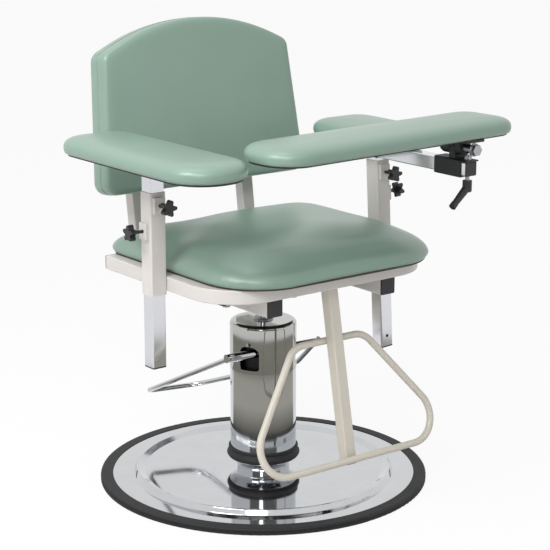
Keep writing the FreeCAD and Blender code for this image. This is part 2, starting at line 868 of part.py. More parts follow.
shaft = Part.makeCylinder(
    dim.shaft_radius,
    2 * dim.shaft_half,
    Vector(-dim.shaft_half, dim.shaft_y, dim.shaft_z),
    X_AXIS,
)
grubs = []
for side in (-1, 1):
    grub_x = side * (dim.shaft_half - dim.grub_inset)
    grub_y = dim.shaft_y - dim.shaft_radius - dim.grub_length / 4
    grub_base = Vector(grub_x, grub_y, dim.shaft_z)
    grubs.append(Part.makeCylinder(dim.grub_radius, dim.grub_length, grub_base, Y_AXIS))
shaped("pedal_shaft", shaft.cut([pedal_bar, *grubs]), PUMP)
shaped("pedal_screws", Part.makeCompound(grubs), PUMP)

# Swivel hub, mounting plate and beams.

turned("swivel_hub", (
    ("dim.spindle_radius + dim.fit_gap", "dim.hub_low"),
    ("dim.hub_radius - dim.hub_chamfer", "dim.hub_low"),
    ("dim.hub_radius", "dim.hub_low + dim.hub_chamfer"),
    ("dim.hub_radius", "dim.plate_bottom"),
    ("dim.spindle_radius + dim.fit_gap", "dim.plate_bottom"),
))

PLATE_HALF = f"({BEAM_X} + dim.beam_side / 2)"
mounting_plate = flat_plate("mounting_plate", (
    (f"-{PLATE_HALF}", "-dim.plate_depth / 2", "dim.plate_corner"),
    (PLATE_HALF, "-dim.plate_depth / 2", "dim.plate_corner"),
    (PLATE_HALF, "dim.plate_depth / 2", "dim.plate_corner"),
    (f"-{PLATE_HALF}", "dim.plate_depth / 2", "dim.plate_corner"),
), "dim.plate_thickness", "dim.plate_bottom")
for x in (BEAM_X, f"-{BEAM_X}"):
    for y in ("dim.plate_bolt_y", "-dim.plate_bolt_y"):
        drill(mounting_plate, "XY_Plane", "dim.plate_bolt_radius", x, y, middle=True)

for label, x in (("right_beam", f"-{BEAM_X}"), ("left_beam", BEAM_X)):
    beam = new_body(label)
    section = new_sketch(beam, "XZ_Plane", "-dim.beam_rear")
    square(section, "dim.beam_side", "dim.beam_corner")
    square(section, "(dim.beam_side - 2 * dim.beam_wall)", "dim.beam_corner / 2")
    pad(beam, section, "dim.beam_rear - dim.beam_front")
    for y in ("dim.plate_bolt_y", "-dim.plate_bolt_y"):
        drill(beam, "XY_Plane", "dim.plate_bolt_radius", "0", y, length="dim.beam_side")
    put(beam, x=x, z=f"{BEAM_BOTTOM} + dim.beam_side / 2")

plate_bolts = []
for x_side in (-1, 1):
    for y_side in (-1, 1):
        under = Vector(x_side * value(BEAM_X), y_side * dim.plate_bolt_y, dim.plate_bottom)
        reach = dim.plate_thickness + dim.beam_wall + dim.plate_bolt_head
        plate_bolts.append(screw(dim.plate_bolt_head_radius, dim.plate_bolt_head,
                                 dim.plate_bolt_radius, reach, under, Z_AXIS))
shaped("plate_bolts", Part.makeCompound(plate_bolts))


def end_plug(side, corner, wall, base, direction):
    """A plastic end cap: a flange on the tube's end and a plug inside it."""
    def block(width, radius, height, low):
        half = width / 2
        corners = rectangle_corners(-half, half, -half, half, radius, radius)
        return Part.Face(rounded_wire(corners, low)).extrude(Z_AXIS * height)

    flange = block(side, corner, dim.cap_flange, 0)
    edges = [edge for edge in flange.Edges if min(v.Z for v in edge.Vertexes) > dim.cap_flange / 2]
    flange = flange.makeFillet(dim.cap_round, edges)
    plug = block(side - 2 * wall, corner / 2, dim.cap_depth, -dim.cap_depth)
    cap = flange.fuse(plug).removeSplitter()
    cap.Placement = Placement(base, Rotation(Z_AXIS, direction))
    return cap


beam_caps = []
for x_side in (-1, 1):
    x = x_side * value(BEAM_X)
    z = value(BEAM_BOTTOM) + dim.beam_side / 2
    for y, direction in ((dim.beam_front, Y_AXIS * -1), (dim.beam_rear, Y_AXIS)):
        beam_caps.append(end_plug(dim.beam_side, dim.beam_corner, dim.beam_wall,
                                  Vector(x, y, z), direction))
shaped("beam_caps", Part.makeCompound(beam_caps))

# Seat frame.

frame = new_body("seat_frame")
FRAME_X = "(dim.frame_half - dim.frame_side / 2)"
FRAME_Y = "(dim.frame_front + dim.frame_side / 2)"
frame_path = new_sketch(frame, "XY_Plane")
outline(frame_path, (
    (f"-{FRAME_X}", "dim.frame_rear"),
    (f"-{FRAME_X}", FRAME_Y, "dim.frame_bend - dim.frame_side / 2"),
    (FRAME_X, FRAME_Y, "dim.frame_bend - dim.frame_side / 2"),
    (FRAME_X, "dim.frame_rear"),
), closed=False)
frame_section = new_sketch(frame, "XZ_Plane", "-dim.frame_rear")
square(frame_section, "dim.frame_side", "dim.frame_corner", x=f"-{FRAME_X}")
square(frame_section, "(dim.frame_side - 2 * dim.frame_wall)", "dim.frame_corner / 2", x=f"-{FRAME_X}")
doc.recompute()
bent = frame.newObject("PartDesign::AdditivePipe", "Pipe")
bent.Profile = frame_section
bent.Spine = (frame_path, [f"Edge{index}" for index in range(1, 6)])
put(frame, z=f"{FRAME_BOTTOM} + dim.frame_side / 2")

frame_caps = []
for x_side in (-1, 1):
    base = Vector(x_side * value(FRAME_X), dim.frame_rear, value(FRAME_TOP) - dim.frame_side / 2)
    frame_caps.append(end_plug(dim.frame_side, dim.frame_corner, dim.frame_wall, base, Y_AXIS))
    top = Vector(x_side * value(BEAM_X), dim.frame_side / 2, dim.upright_length)
    cap = end_plug(dim.frame_side, dim.frame_corner, dim.frame_wall, top, Z_AXIS)
    cap.Placement = BACK.multiply(cap.Placement)
    frame_caps.append(cap)
shaped("frame_caps", Part.makeCompound(frame_caps))

# Seat.

seat_half = dim.frame_half + dim.seat_over / 2
seat_corners = rectangle_corners(
    dim.seat_shift - seat_half, dim.seat_shift + seat_half,
    dim.seat_front, dim.seat_rear, dim.seat_front_radius, dim.seat_rear_radius,
)
frame_top = value(FRAME_TOP)
board = pad_board(seat_corners, dim.seat_board_inset, frame_top, dim.seat_board)

seat_low = frame_top + dim.seat_lift
seat_wide = seat_low + dim.seat_skirt
seat_wires = [
    rounded_wire(inset_corners(seat_corners, dim.seat_draw, dim.seat_draw), seat_low),
    rounded_wire(inset_corners(seat_corners, dim.seat_draw / 3, dim.seat_draw),
                 seat_low + dim.seat_skirt / 3),
]
for share in SEAT_EDGE_SHARES:
    angle = math.radians(QUARTER_TURN * share)
    drawn = inset_corners(seat_corners, dim.seat_edge_draw * (1 - math.cos(angle)), dim.seat_draw / 2)
    seat_wires.append(rounded_wire(drawn, seat_wide + dim.seat_edge * math.sin(angle)))
seat_middle = (dim.seat_front + dim.seat_rear) / 2
for size_share, crown_share in SEAT_CROWN_SHARES:
    scaled = []
    for x, y, radius in drawn:
        x_in = dim.seat_shift + (x - dim.seat_shift) * size_share
        y_in = seat_middle + (y - seat_middle) * size_share
        scaled.append((x_in, y_in, radius * size_share))
    height = seat_wide + dim.seat_edge + dim.seat_crown * crown_share
    seat_wires.append(rounded_wire(scaled, height))
# The pad reaches past the frame on the sitter's left, so it is notched round that post.
notch_half = dim.post_side / 2 + dim.seat_notch_gap
post_length = dim.post_high - dim.post_low
notch = Part.makeBox(2 * notch_half, 2 * notch_half, post_length,
                     Vector(-notch_half, -notch_half, dim.post_low - frame_top))
notch.Placement = LEFT_POST.multiply(notch.Placement)
board = board.cut(notch)
shaped("seat_cushion", Part.makeLoft(seat_wires, True, True).cut([board, notch]))

# Two screws go up through the front run of the frame and one through each bend.
BEND_RADIUS = "(dim.frame_bend - dim.frame_side / 2)"
BEND_X = f"({FRAME_X} - {BEND_RADIUS} * (1 - sin({EIGHTH_TURN} deg)))"
BEND_Y = f"({FRAME_Y} + {BEND_RADIUS} * (1 - cos({EIGHTH_TURN} deg)))"
SCREW_PLACES = (
    ("-dim.seat_screw_x", FRAME_Y),
    ("dim.seat_screw_x", FRAME_Y),
    (f"-{BEND_X}", BEND_Y),
    (BEND_X, BEND_Y),
)
seat_screws = []
for x, y in ((value(x), value(y)) for x, y in SCREW_PLACES):
    seat_screws.append(screw(dim.seat_screw_head, dim.seat_screw_head_height, dim.seat_screw_radius,
                             dim.frame_side + dim.seat_board / 2,
                             Vector(x, y, value(FRAME_BOTTOM)), Z_AXIS))
for x, y in SCREW_PLACES:
    drill(frame, "XY_Plane", "dim.seat_screw_radius", x, y, middle=True)
shaped("seat_screws", Part.makeCompound(seat_screws))
shaped("seat_board", board.cut(seat_screws))

# Back.

for label, x_side in (("right_upright", -1), ("left_upright", 1)):
    upright = square_tube(label, "dim.frame_side", "dim.frame_corner", "dim.frame_wall",
                          "dim.upright_length + dim.frame_side", "-dim.frame_side")
    centre = Placement(Vector(x_side * value(BEAM_X), dim.frame_side / 2, 0), Rotation())
    foot = new_sketch(upright, "YZ_Plane")
    slope = "tan(dim.back_lean * 1 deg)"
    outline(foot, (
        ("-dim.frame_side", f"-dim.frame_side / 2 * {slope}"),
        ("dim.frame_side", f"dim.frame_side * 3 / 2 * {slope}"),
        ("dim.frame_side", "-2 * dim.frame_side"),
        ("-dim.frame_side", "-2 * dim.frame_side"),
    ))
    pocket(upright, foot, middle=True)
    place(upright, BACK.multiply(centre))

# The arched top is an arc whose crown is the peak; straight runs lead from it to the shoulders.
arch_run = dim.back_shoulder_half * BACK_ARCH_SHARE
arch_turn = math.asin(arch_run / dim.back_arch_radius)
arch_end = dim.back_peak - dim.back_arch_radius * (1 - math.cos(arch_turn))
arch_corner = arch_end + arch_run * math.tan(arch_turn)
shoulder = arch_end - (dim.back_shoulder_half - arch_run) * math.tan(arch_turn)
back_corners = [
    (-dim.back_bottom_half, dim.back_bottom, dim.back_bottom_radius),
    (dim.back_bottom_half, dim.back_bottom, dim.back_bottom_radius),
    (dim.back_shoulder_half, shoulder, dim.back_shoulder_radius),
    (0, arch_corner, dim.back_arch_radius),
    (-dim.back_shoulder_half, shoulder, dim.back_shoulder_radius),
]
# The outline is drawn flat, then stood up so that its height runs along the uprights.
STAND = Placement(Vector(0, 0, 0), Rotation(X_AXIS, QUARTER_TURN))
back_outline = rounded_wire(back_corners)
back_board_wire = back_outline.makeOffset2D(-dim.back_board_inset)
board = Part.Face(back_board_wire).extrude(Z_AXIS * dim.back_board)
wires = []
for level, draw in zip(BACK_LEVEL_SHARES, BACK_INSET_SHARES):
    if draw:
        wire = back_outline.makeOffset2D(-draw * dim.back_thickness)
    else:
        wire = back_outline.copy()
    wire.translate(Z_AXIS * (dim.back_reveal + level * dim.back_thickness))
    wires.append(wire)
cushion = Part.makeLoft(wires, True, True).cut(board)

back_screws = []
for x_side in (-1, 1):
    for along in (dim.back_screw_low, dim.back_screw_high):
        base = Vector(x_side * value(BEAM_X), along, -dim.frame_side)
        back_screws.append(screw(dim.seat_screw_head, dim.seat_screw_head_height,
                                 dim.seat_screw_radius, dim.frame_side + dim.back_board / 2,
                                 base, Z_AXIS))
BACK_STOOD = BACK.multiply(STAND)
shaped("back_board", board.cut(back_screws), BACK_STOOD)
shaped("back_cushion", cushion, BACK_STOOD)
shaped("back_screws", Part.makeCompound(back_screws), BACK_STOOD)
for label in ("right_upright", "left_upright"):
    upright = doc.getObject(label)
    for along in ("dim.back_screw_low", "dim.back_screw_high"):
        drill(upright, "XZ_Plane", "dim.seat_screw_radius", "0", along, middle=True)

# Arm posts.

POST_LENGTH = "(dim.post_high - dim.post_low)"
POST_WALL = "((dim.post_side - dim.arm_side) / 2 - dim.slide_gap)"
FRONT_KNOB = "(dim.post_high - dim.knob_front_drop)"
SIDE_KNOB = "(dim.post_high - dim.knob_side_drop)"
RIGHT_POST = Placement(Vector(-value(POST_X), dim.post_y, value(FRAME_TOP)), Rotation())

for label, placement, outward in (("right_post", RIGHT_POST, -1), ("left_post", LEFT_POST, 1)):
    post = new_body(label)
    section = new_sketch(post, "XY_Plane", f"dim.post_low - {FRAME_TOP}")
    square(section, "dim.post_side", "dim.post_corner")
    square(section, TUBE_BORE, BORE_CORNER)
    pad(post, section, POST_LENGTH)
    drill(post, "XZ_Plane", "dim.stud_radius + dim.fit_gap", "0", f"{FRONT_KNOB} - {FRAME_TOP}",
          length="dim.post_side", reverse=True)
    drill(post, "YZ_Plane", "dim.stud_radius + dim.fit_gap", "0", f"{SIDE_KNOB} - {FRAME_TOP}",
          length="dim.post_side", reverse=outward > 0)
    place(post, placement)


def star_knob():
    """Stud and five-lobed head along +Z; the stud's tip is at the origin."""
    lobes = 5
    stud = Part.makeCylinder(dim.stud_radius, dim.stud_length)
    boss_low = dim.stud_length - dim.knob_boss
    boss = Part.makeCylinder(dim.knob_boss_radius, dim.knob_boss, Z_AXIS * boss_low)
    arms = []
    for index in range(lobes):
        angle = math.radians(FULL_TURN * index / lobes)
        reach = dim.knob_radius - dim.knob_lobe
        tip = Vector(reach * math.cos(angle), reach * math.sin(angle), 0)
        side = Vector(-math.sin(angle), math.cos(angle), 0)
        root = side * dim.knob_waist * math.tan(math.pi / lobes)
        edge = side * dim.knob_lobe
        arm = Part.Face(Part.makePolygon([root, tip + edge, tip - edge, root * -1, root]))
        arms.append(arm.extrude(Z_AXIS * dim.knob_thickness))
        arms.append(Part.makeCylinder(dim.knob_lobe, dim.knob_thickness, tip))
    core = Part.makeCylinder(dim.knob_waist, dim.knob_thickness)
    head = core.multiFuse(arms).removeSplitter()
    head.translate(Z_AXIS * dim.stud_length)
    return stud.multiFuse([boss, head]).removeSplitter()


def knob_place(post, drop, direction):
    """The knob's stud tip stands against the inner tube."""
    height = dim.post_high - drop - value(FRAME_TOP)
    reach = dim.arm_side / 2
    local = Placement(Vector(0, 0, height) + direction * reach, Rotation(Z_AXIS, direction))
    return post.multiply(local)


nuts = []
for side, post in (("right", RIGHT_POST), ("left", LEFT_POST)):
    outward = X_AXIS if side == "left" else X_AXIS * -1
    for face, drop, direction in (
        ("front", dim.knob_front_drop, Y_AXIS * -1),
        ("side", dim.knob_side_drop, outward),
    ):
        seat = knob_place(post, drop, direction)
        shaped(f"{side}_{face}_knob", star_knob(), seat)
        wide, tall = dim.nut_width / 2, dim.nut_length / 2
        half_x, half_y = (wide, tall) if face == "front" else (tall, wide)
        corners = rectangle_corners(-half_x, half_x, -half_y, half_y,
                                    dim.nut_corner, dim.nut_corner)
        nut = Part.Face(rounded_wire(corners)).extrude(Z_AXIS * dim.nut_height)
        nut = nut.cut(Part.makeCylinder(dim.stud_radius + dim.fit_gap, dim.nut_height))
        lift = Placement(Z_AXIS * ((dim.post_side - dim.arm_side) / 2), Rotation())
        nut.Placement = seat.multiply(lift)
        nuts.append(nut)
shaped("knob_nuts", Part.makeCompound(nuts))

# Right arm.

right_tube = square_tube("right_arm_tube", "dim.arm_side", "dim.arm_corner", "dim.arm_wall",
                         f"{RIGHT_TUBE_TOP} - dim.right_arm_low")
put(right_tube, x=f"-{POST_X}", y="dim.post_y", z="dim.right_arm_low")
shaped("right_arm_plug", end_plug(dim.arm_side, dim.arm_corner, dim.arm_wall,
                                  Vector(-value(POST_X), dim.post_y, dim.right_arm_low),
                                  Z_AXIS * -1))


def arm_bracket(label):
    return flat_plate(label, (
        ("-dim.bracket_width / 2", "-dim.bracket_length / 2", "dim.bracket_corner"),
        ("dim.bracket_width / 2", "-dim.bracket_length / 2", "dim.bracket_corner"),
        ("dim.bracket_width / 2", "dim.bracket_length / 2", "dim.bracket_corner"),
        ("-dim.bracket_width / 2", "dim.bracket_length / 2", "dim.bracket_corner"),
    ), "dim.bracket_steel")


put(arm_bracket("right_arm_bracket"), x=f"-{POST_X}", y="dim.post_y", z=RIGHT_TUBE_TOP)


def arm_pad(side, centre_x, front, rear, board_low):
    corners = rectangle_corners(
        centre_x - dim.arm_pad_width / 2, centre_x + dim.arm_pad_width / 2,
        front, rear, dim.arm_front_radius, dim.arm_rear_radius,
    )
    board = pad_board(corners, dim.arm_board_inset, board_low, dim.arm_board)
    cushion = arm_cushion(corners, board_low + dim.arm_reveal, dim.arm_pad_thickness)
    shaped(f"{side}_arm_board", board)
    shaped(f"{side}_arm_pad", cushion.cut(board))


arm_pad("right", -value(POST_X) - dim.right_pad_out, dim.right_pad_front, dim.right_pad_rear,
        value(RIGHT_BOARD))

# Left arm and slide rail.

LEFT_TUBE_TOP = f"({RAIL_LOW} - {FRAME_TOP})"
left_tube = square_tube("left_arm_tube", "dim.arm_side", "dim.arm_corner", "dim.arm_wall",
                        f"{RAIL_LOW} + dim.arm_side - dim.left_arm_low",
                        f"dim.left_arm_low - {FRAME_TOP}")
head = new_sketch(left_tube, "XZ_Plane")
LEAN_RISE = "dim.arm_side * tan(dim.post_lean * 1 deg)"
HEAD_MIDDLE = f"{LEFT_TUBE_TOP} / cos(dim.post_lean * 1 deg)"
outline(head, (
    ("-dim.arm_side", f"{HEAD_MIDDLE} + {LEAN_RISE}"),
    ("dim.arm_side", f"{HEAD_MIDDLE} - {LEAN_RISE}"),
    ("dim.arm_side", f"{LEFT_TUBE_TOP} + 3 * dim.arm_side"),
    ("-dim.arm_side", f"{LEFT_TUBE_TOP} + 3 * dim.arm_side"),
))
pocket(left_tube, head, middle=True)
drill(left_tube, "XZ_Plane", "dim.arm_hole_radius", "0",
      f"dim.left_arm_low - {FRAME_TOP} + dim.arm_hole_height", length="dim.arm_side", reverse=True)
place(left_tube, LEFT_POST)

left_plug = end_plug(dim.arm_side, dim.arm_corner, dim.arm_wall, Z_AXIS * 0, Z_AXIS * -1)
left_plug.Placement = LEFT_POST.multiply(Placement(
    Vector(0, 0, dim.left_arm_low - value(FRAME_TOP)), Rotation(X_AXIS, HALF_TURN)))
shaped("left_arm_plug", left_plug)

rail_x = value(RAIL_X)
rail = new_body("slide_rail")
section = new_sketch(rail, "XZ_Plane", "-dim.rail_rear")
square(section, "dim.rail_side", "dim.arm_corner")
square(section, "(dim.rail_side - 2 * dim.arm_wall)", "dim.arm_corner / 2")
pad(rail, section, "dim.rail_rear - dim.rail_nose")
slot = new_sketch(rail, "XY_Plane")
SLOT_HALF = "(dim.clamp_radius + dim.clamp_slack)"
SLOT_FRONT = f"(dim.clamp_y - {SLOT_HALF})"
SLOT_REAR = f"(dim.clamp_y + dim.slide_travel + {SLOT_HALF})"
outline(slot, (
    (f"-{SLOT_HALF}", SLOT_FRONT, f"{SLOT_HALF} - dim.clamp_slack / 4"),
    (SLOT_HALF, SLOT_FRONT, f"{SLOT_HALF} - dim.clamp_slack / 4"),
    (SLOT_HALF, SLOT_REAR, f"{SLOT_HALF} - dim.clamp_slack / 4"),
    (f"-{SLOT_HALF}", SLOT_REAR, f"{SLOT_HALF} - dim.clamp_slack / 4"),
))
pocket(rail, slot, middle=True)
put(rail, x=RAIL_X, z=RAIL_MIDDLE)

plug = end_plug(dim.rail_side, dim.arm_corner, dim.arm_wall,
                Vector(rail_x, dim.rail_nose, value(RAIL_MIDDLE)), Y_AXIS * -1)
slot_half = value(SLOT_HALF)
plug = plug.cut(Part.makeBox(
    2 * slot_half, dim.cap_depth, dim.rail_side,
    Vector(rail_x - slot_half, value(SLOT_FRONT), value(RAIL_LOW)),
))
rear_plug = end_plug(dim.rail_side, dim.arm_corner, dim.arm_wall,
                     Vector(rail_x, dim.rail_rear, value(RAIL_MIDDLE)), Y_AXIS)
shaped("rail_plugs", Part.makeCompound([plug, rear_plug]))

put(arm_bracket("left_arm_bracket"), x=RAIL_X, y="(dim.left_pad_front + dim.left_pad_rear) / 2",
    z="dim.rail_high")
arm_pad("left", rail_x, dim.left_pad_front, dim.left_pad_rear, dim.rail_high + dim.bracket_steel)

# Sleeve that slides on the rail.

sleeve = new_body("slide_sleeve")
section = new_sketch(sleeve, "XZ_Plane", "-dim.sleeve_rear")
square(section, "dim.sleeve_side", "dim.post_corner")
square(section, RAIL_BORE, BORE_CORNER)
pad(sleeve, section, "dim.sleeve_rear - dim.tongue_front")
trim = new_sketch(sleeve, "YZ_Plane")
outline(trim, (
    ("dim.tongue_front - dim.sleeve_side", "-dim.sleeve_side"),
    ("dim.sleeve_front", "-dim.sleeve_side"),
    ("dim.sleeve_front", f"{RAIL_BORE} / 2"),
    ("dim.tongue_front - dim.sleeve_side", f"{RAIL_BORE} / 2"),
))
pocket(sleeve, trim, middle=True)
drill(sleeve, "XY_Plane", "dim.clamp_radius", "0", "dim.clamp_y", length="dim.sleeve_side", reverse=True)
knuckle = new_sketch(sleeve, "XZ_Plane", "-dim.cheek_rear + dim.cheek_steel + dim.hinge_gap")
KNUCKLE_Z = "(dim.sleeve_side / 2 + dim.hinge_height)"
outline(knuckle, (
    ("-dim.knuckle_radius", "dim.sleeve_side / 2"),
    ("dim.knuckle_radius", "dim.sleeve_side / 2"),
    ("dim.knuckle_radius", f"{KNUCKLE_Z} + dim.knuckle_radius", f"dim.knuckle_radius * {ROUND_SHARE}"),
    ("-dim.knuckle_radius", f"{KNUCKLE_Z} + dim.knuckle_radius", f"dim.knuckle_radius * {ROUND_SHARE}"),
))
circle(knuckle, "dim.hinge_bolt_radius + dim.fit_gap", "0", KNUCKLE_Z)
pad(sleeve, knuckle, "dim.knuckle_length")
put(sleeve, x=RAIL_X, z=RAIL_MIDDLE)

clamp_top = value(SLEEVE_TOP) + dim.clamp_nut + dim.clamp_thread
clamp_low = value(SLEEVE_LOW) - dim.handle_gap - dim.handle_hub / 2
clamp_base = Vector(rail_x, dim.clamp_y, clamp_low)
clamp_rod = Part.makeCylinder(dim.clamp_radius, clamp_top - clamp_low, clamp_base)
clamp_nut = hexagon(dim.clamp_nut_radius, dim.clamp_nut,
                    Vector(rail_x, dim.clamp_y, value(SLEEVE_TOP)))
shaped("clamp_bolt", clamp_rod.fuse(clamp_nut).removeSplitter())

# Ratchet handle.

hub_top = value(SLEEVE_LOW) - dim.handle_gap
hub_low = hub_top - dim.handle_hub
hub_base = Vector(rail_x, dim.clamp_y, hub_low)
hub = Part.makeCylinder(dim.handle_hub_radius, dim.handle_hub, hub_base)
hub = hub.makeFillet(dim.handle_hub_round, [
    edge for edge in hub.Edges
    if edge.Closed and abs(edge.Vertexes[0].Z - hub_low) < dim.handle_hub_round / 2
])
elbow = hub_base + Z_AXIS * dim.handle_hub_radius
reach = Vector(-dim.handle_reach_x, -dim.handle_reach_y, -dim.handle_drop)
arm = Part.makeCone(dim.handle_root_radius, dim.handle_arm_radius, reach.Length, elbow, reach)
tip_base = elbow + reach * (1 - dim.handle_tip / reach.Length)
tip = Part.makeCylinder(dim.handle_tip_radius, dim.handle_tip, tip_base, reach)
ball = Part.makeSphere(dim.handle_hub_radius - dim.handle_hub_round / 3, elbow)
handle = hub.multiFuse([arm, tip, ball]).removeSplitter()
stud_hole = Part.makeCylinder(dim.clamp_radius + dim.fit_gap, dim.handle_hub / 2,
                              hub_base + Z_AXIS * dim.handle_hub / 2)
shaped("ratchet_handle", handle.cut(stud_hole))

# Flip hinge.

hinge_z = value(HINGE_Z)
front_cheek_rear = dim.cheek_rear - dim.cheek_steel - 2 * dim.hinge_gap - dim.knuckle_length
front_cheek_front = front_cheek_rear - dim.front_cheek
web_low = dim.flip_lift - dim.flip_foot

bracket = new_body("hinge_bracket")
for start, length in (
    ("-dim.cheek_rear", "dim.cheek_steel"),
    ("-dim.cheek_rear + dim.cheek_steel + 2 * dim.hinge_gap + dim.knuckle_length", "dim.front_cheek"),
):
    cheek = new_sketch(bracket, "XZ_Plane", start)
    outline(cheek, (
        ("-dim.hinge_radius", "-dim.hinge_radius", f"dim.hinge_radius * {ROUND_SHARE}"),
        ("dim.hinge_radius", "-dim.hinge_radius", f"dim.hinge_radius * {ROUND_SHARE}"),
        ("dim.hinge_radius", "dim.flip_lift"),
        ("-dim.hinge_radius", "dim.flip_lift"),
    ))
    circle(cheek, "dim.hinge_bolt_radius")
    if start == "-dim.cheek_rear":
        pad(bracket, cheek, length)
        web = new_sketch(bracket, "XY_Plane", "dim.flip_lift - dim.flip_foot")
        outline(web, (
            ("-dim.flip_foot_out", "dim.cheek_rear - dim.flip_foot_length", "dim.bracket_corner"),
            ("dim.hinge_radius", "dim.cheek_rear - dim.flip_foot_length"),
            ("dim.hinge_radius", "dim.cheek_rear"),
            ("-dim.flip_foot_out", "dim.cheek_rear", "dim.bracket_corner"),
        ))
        pad(bracket, web, "dim.flip_foot")
    else:
        pad(bracket, cheek, length)
put(bracket, x=RAIL_X, z=HINGE_Z)

stack_front = front_cheek_front - dim.friction_stack
washer_front = stack_front - dim.washer_steel
head_front = washer_front - dim.hinge_head
bolt_rear = dim.cheek_rear + dim.hinge_nut
pin = Part.makeCylinder(dim.hinge_bolt_radius, bolt_rear - head_front,
                        Vector(rail_x, head_front, hinge_z), Y_AXIS)
head = hexagon(dim.hinge_head_radius, dim.hinge_head,
               Vector(rail_x, head_front, hinge_z), Y_AXIS)
washer = Part.makeCylinder(dim.washer_radius, dim.washer_steel,
                           Vector(rail_x, washer_front, hinge_z), Y_AXIS)
nut = hexagon(dim.hinge_head_radius, dim.hinge_nut,
              Vector(rail_x, dim.cheek_rear, hinge_z), Y_AXIS)
shaped("hinge_bolt", pin.multiFuse([head, washer, nut]).removeSplitter())
stack = Part.makeCylinder(dim.friction_radius, dim.friction_stack,
                          Vector(rail_x, stack_front, hinge_z), Y_AXIS)
shaped("friction_spacer", stack.cut(Part.makeCylinder(
    dim.hinge_bolt_radius, dim.friction_stack,
    Vector(rail_x, stack_front, hinge_z), Y_AXIS)))

# Flip-arm pad.

# It reaches from the right pad, past a small gap, to its own overhang beyond the rail.
flip_end = rail_x + dim.flip_over
right_pad_side = value(POST_X) + dim.right_pad_out - dim.arm_pad_width / 2
flip_half = (flip_end + right_pad_side - dim.flip_gap) / 2
flip_corners = [
    (-flip_half, -dim.flip_half_width, dim.flip_inner_radius),
    (flip_half, -dim.flip_half_width, dim.flip_outer_radius),
    (flip_half, dim.flip_half_width, dim.flip_outer_radius),
    (-flip_half, dim.flip_half_width, dim.flip_inner_radius),
]
FLIP = Placement(
    Vector(flip_end - flip_half, dim.flip_centre_y, hinge_z + dim.flip_lift),
    Rotation(Z_AXIS, dim.flip_turn),
)
board = pad_board(flip_corners, dim.arm_board_inset, 0, dim.arm_board)
flip_cushion = arm_cushion(flip_corners, dim.flip_reveal, dim.flip_thickness - dim.flip_reveal)
shaped("flip_board", board, FLIP)
shaped("flip_pad", flip_cushion.cut(board), FLIP)

# Footrest.

# The strut's own frame: its origin is under the frame's front tube and +Z runs down the strut.
STRUT = Placement(
    Vector(0, dim.strut_y, value(FRAME_BOTTOM)),
    Rotation(X_AXIS, HALF_TURN - dim.strut_lean),
)
strut = square_tube("footrest_strut", "dim.strut_side", "dim.strut_corner", "dim.strut_wall",
                    "dim.strut_length + dim.strut_side", "-dim.strut_side")
foot = new_sketch(strut, "YZ_Plane")
slope = "tan(dim.strut_lean * 1 deg)"
outline(foot, (
    ("-dim.strut_side", f"-dim.strut_side * {slope}"),
    ("dim.strut_side", f"dim.strut_side * {slope}"),
    ("dim.strut_side", "-2 * dim.strut_side"),
    ("-dim.strut_side", "-2 * dim.strut_side"),
))
pocket(strut, foot, middle=True)
place(strut, STRUT)
cap = end_plug(dim.strut_side, dim.strut_corner, dim.strut_wall, Z_AXIS * 0, Z_AXIS)
cap.Placement = STRUT.multiply(Placement(Z_AXIS * dim.strut_length, Rotation()))
shaped("footrest_cap", cap)

# In that frame the bottom bar passes in front of the strut and the top bar behind it.
bar_reach = dim.strut_side / 2 + dim.loop_radius
low_bar = Vector(0, bar_reach, dim.strut_length - dim.loop_low_inset)
high_bar = Vector(0, -bar_reach, dim.loop_high_along)
slope_down = low_bar - high_bar
loop_corners = [
    (-dim.loop_high_half, 0, dim.loop_high_bend),
    (dim.loop_high_half, 0, dim.loop_high_bend),
    (dim.loop_low_half, slope_down.Length, dim.loop_low_bend),
    (-dim.loop_low_half, slope_down.Length, dim.loop_low_bend),
]
loop_wire = rounded_wire(loop_corners)
section = Part.Wire(Part.makeCircle(
    dim.loop_radius,
    loop_wire.Edges[0].Vertexes[0].Point,
    loop_wire.Edges[0].tangentAt(loop_wire.Edges[0].FirstParameter),
))
loop = loop_wire.makePipeShell([section], True, True)
tilt = math.degrees(math.atan2(slope_down.z, slope_down.y))
loop.Placement = STRUT.multiply(Placement(high_bar, Rotation(X_AXIS, tilt)))
shaped("footrest_loop", loop)

# Check and write.

doc.recompute()
for item in doc.Objects:
    if "Invalid" in item.State or "Error" in item.State:
        raise RuntimeError(f"{item.Label} did not compute: {item.State}")
for piece in SUB_PARTS:
    if piece.Shape.isNull() or not piece.Shape.isValid():
        raise RuntimeError(f"{piece.Label} has no valid shape")

os.makedirs("parts", exist_ok=True)
for piece in SUB_PARTS:
    piece.Shape.exportStep(f"parts/{piece.Label}.step")
print(len(SUB_PARTS), "sub-parts written")
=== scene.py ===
import json
import math

import bmesh
import bpy
import numpy as np
from mathutils import Matrix, Vector


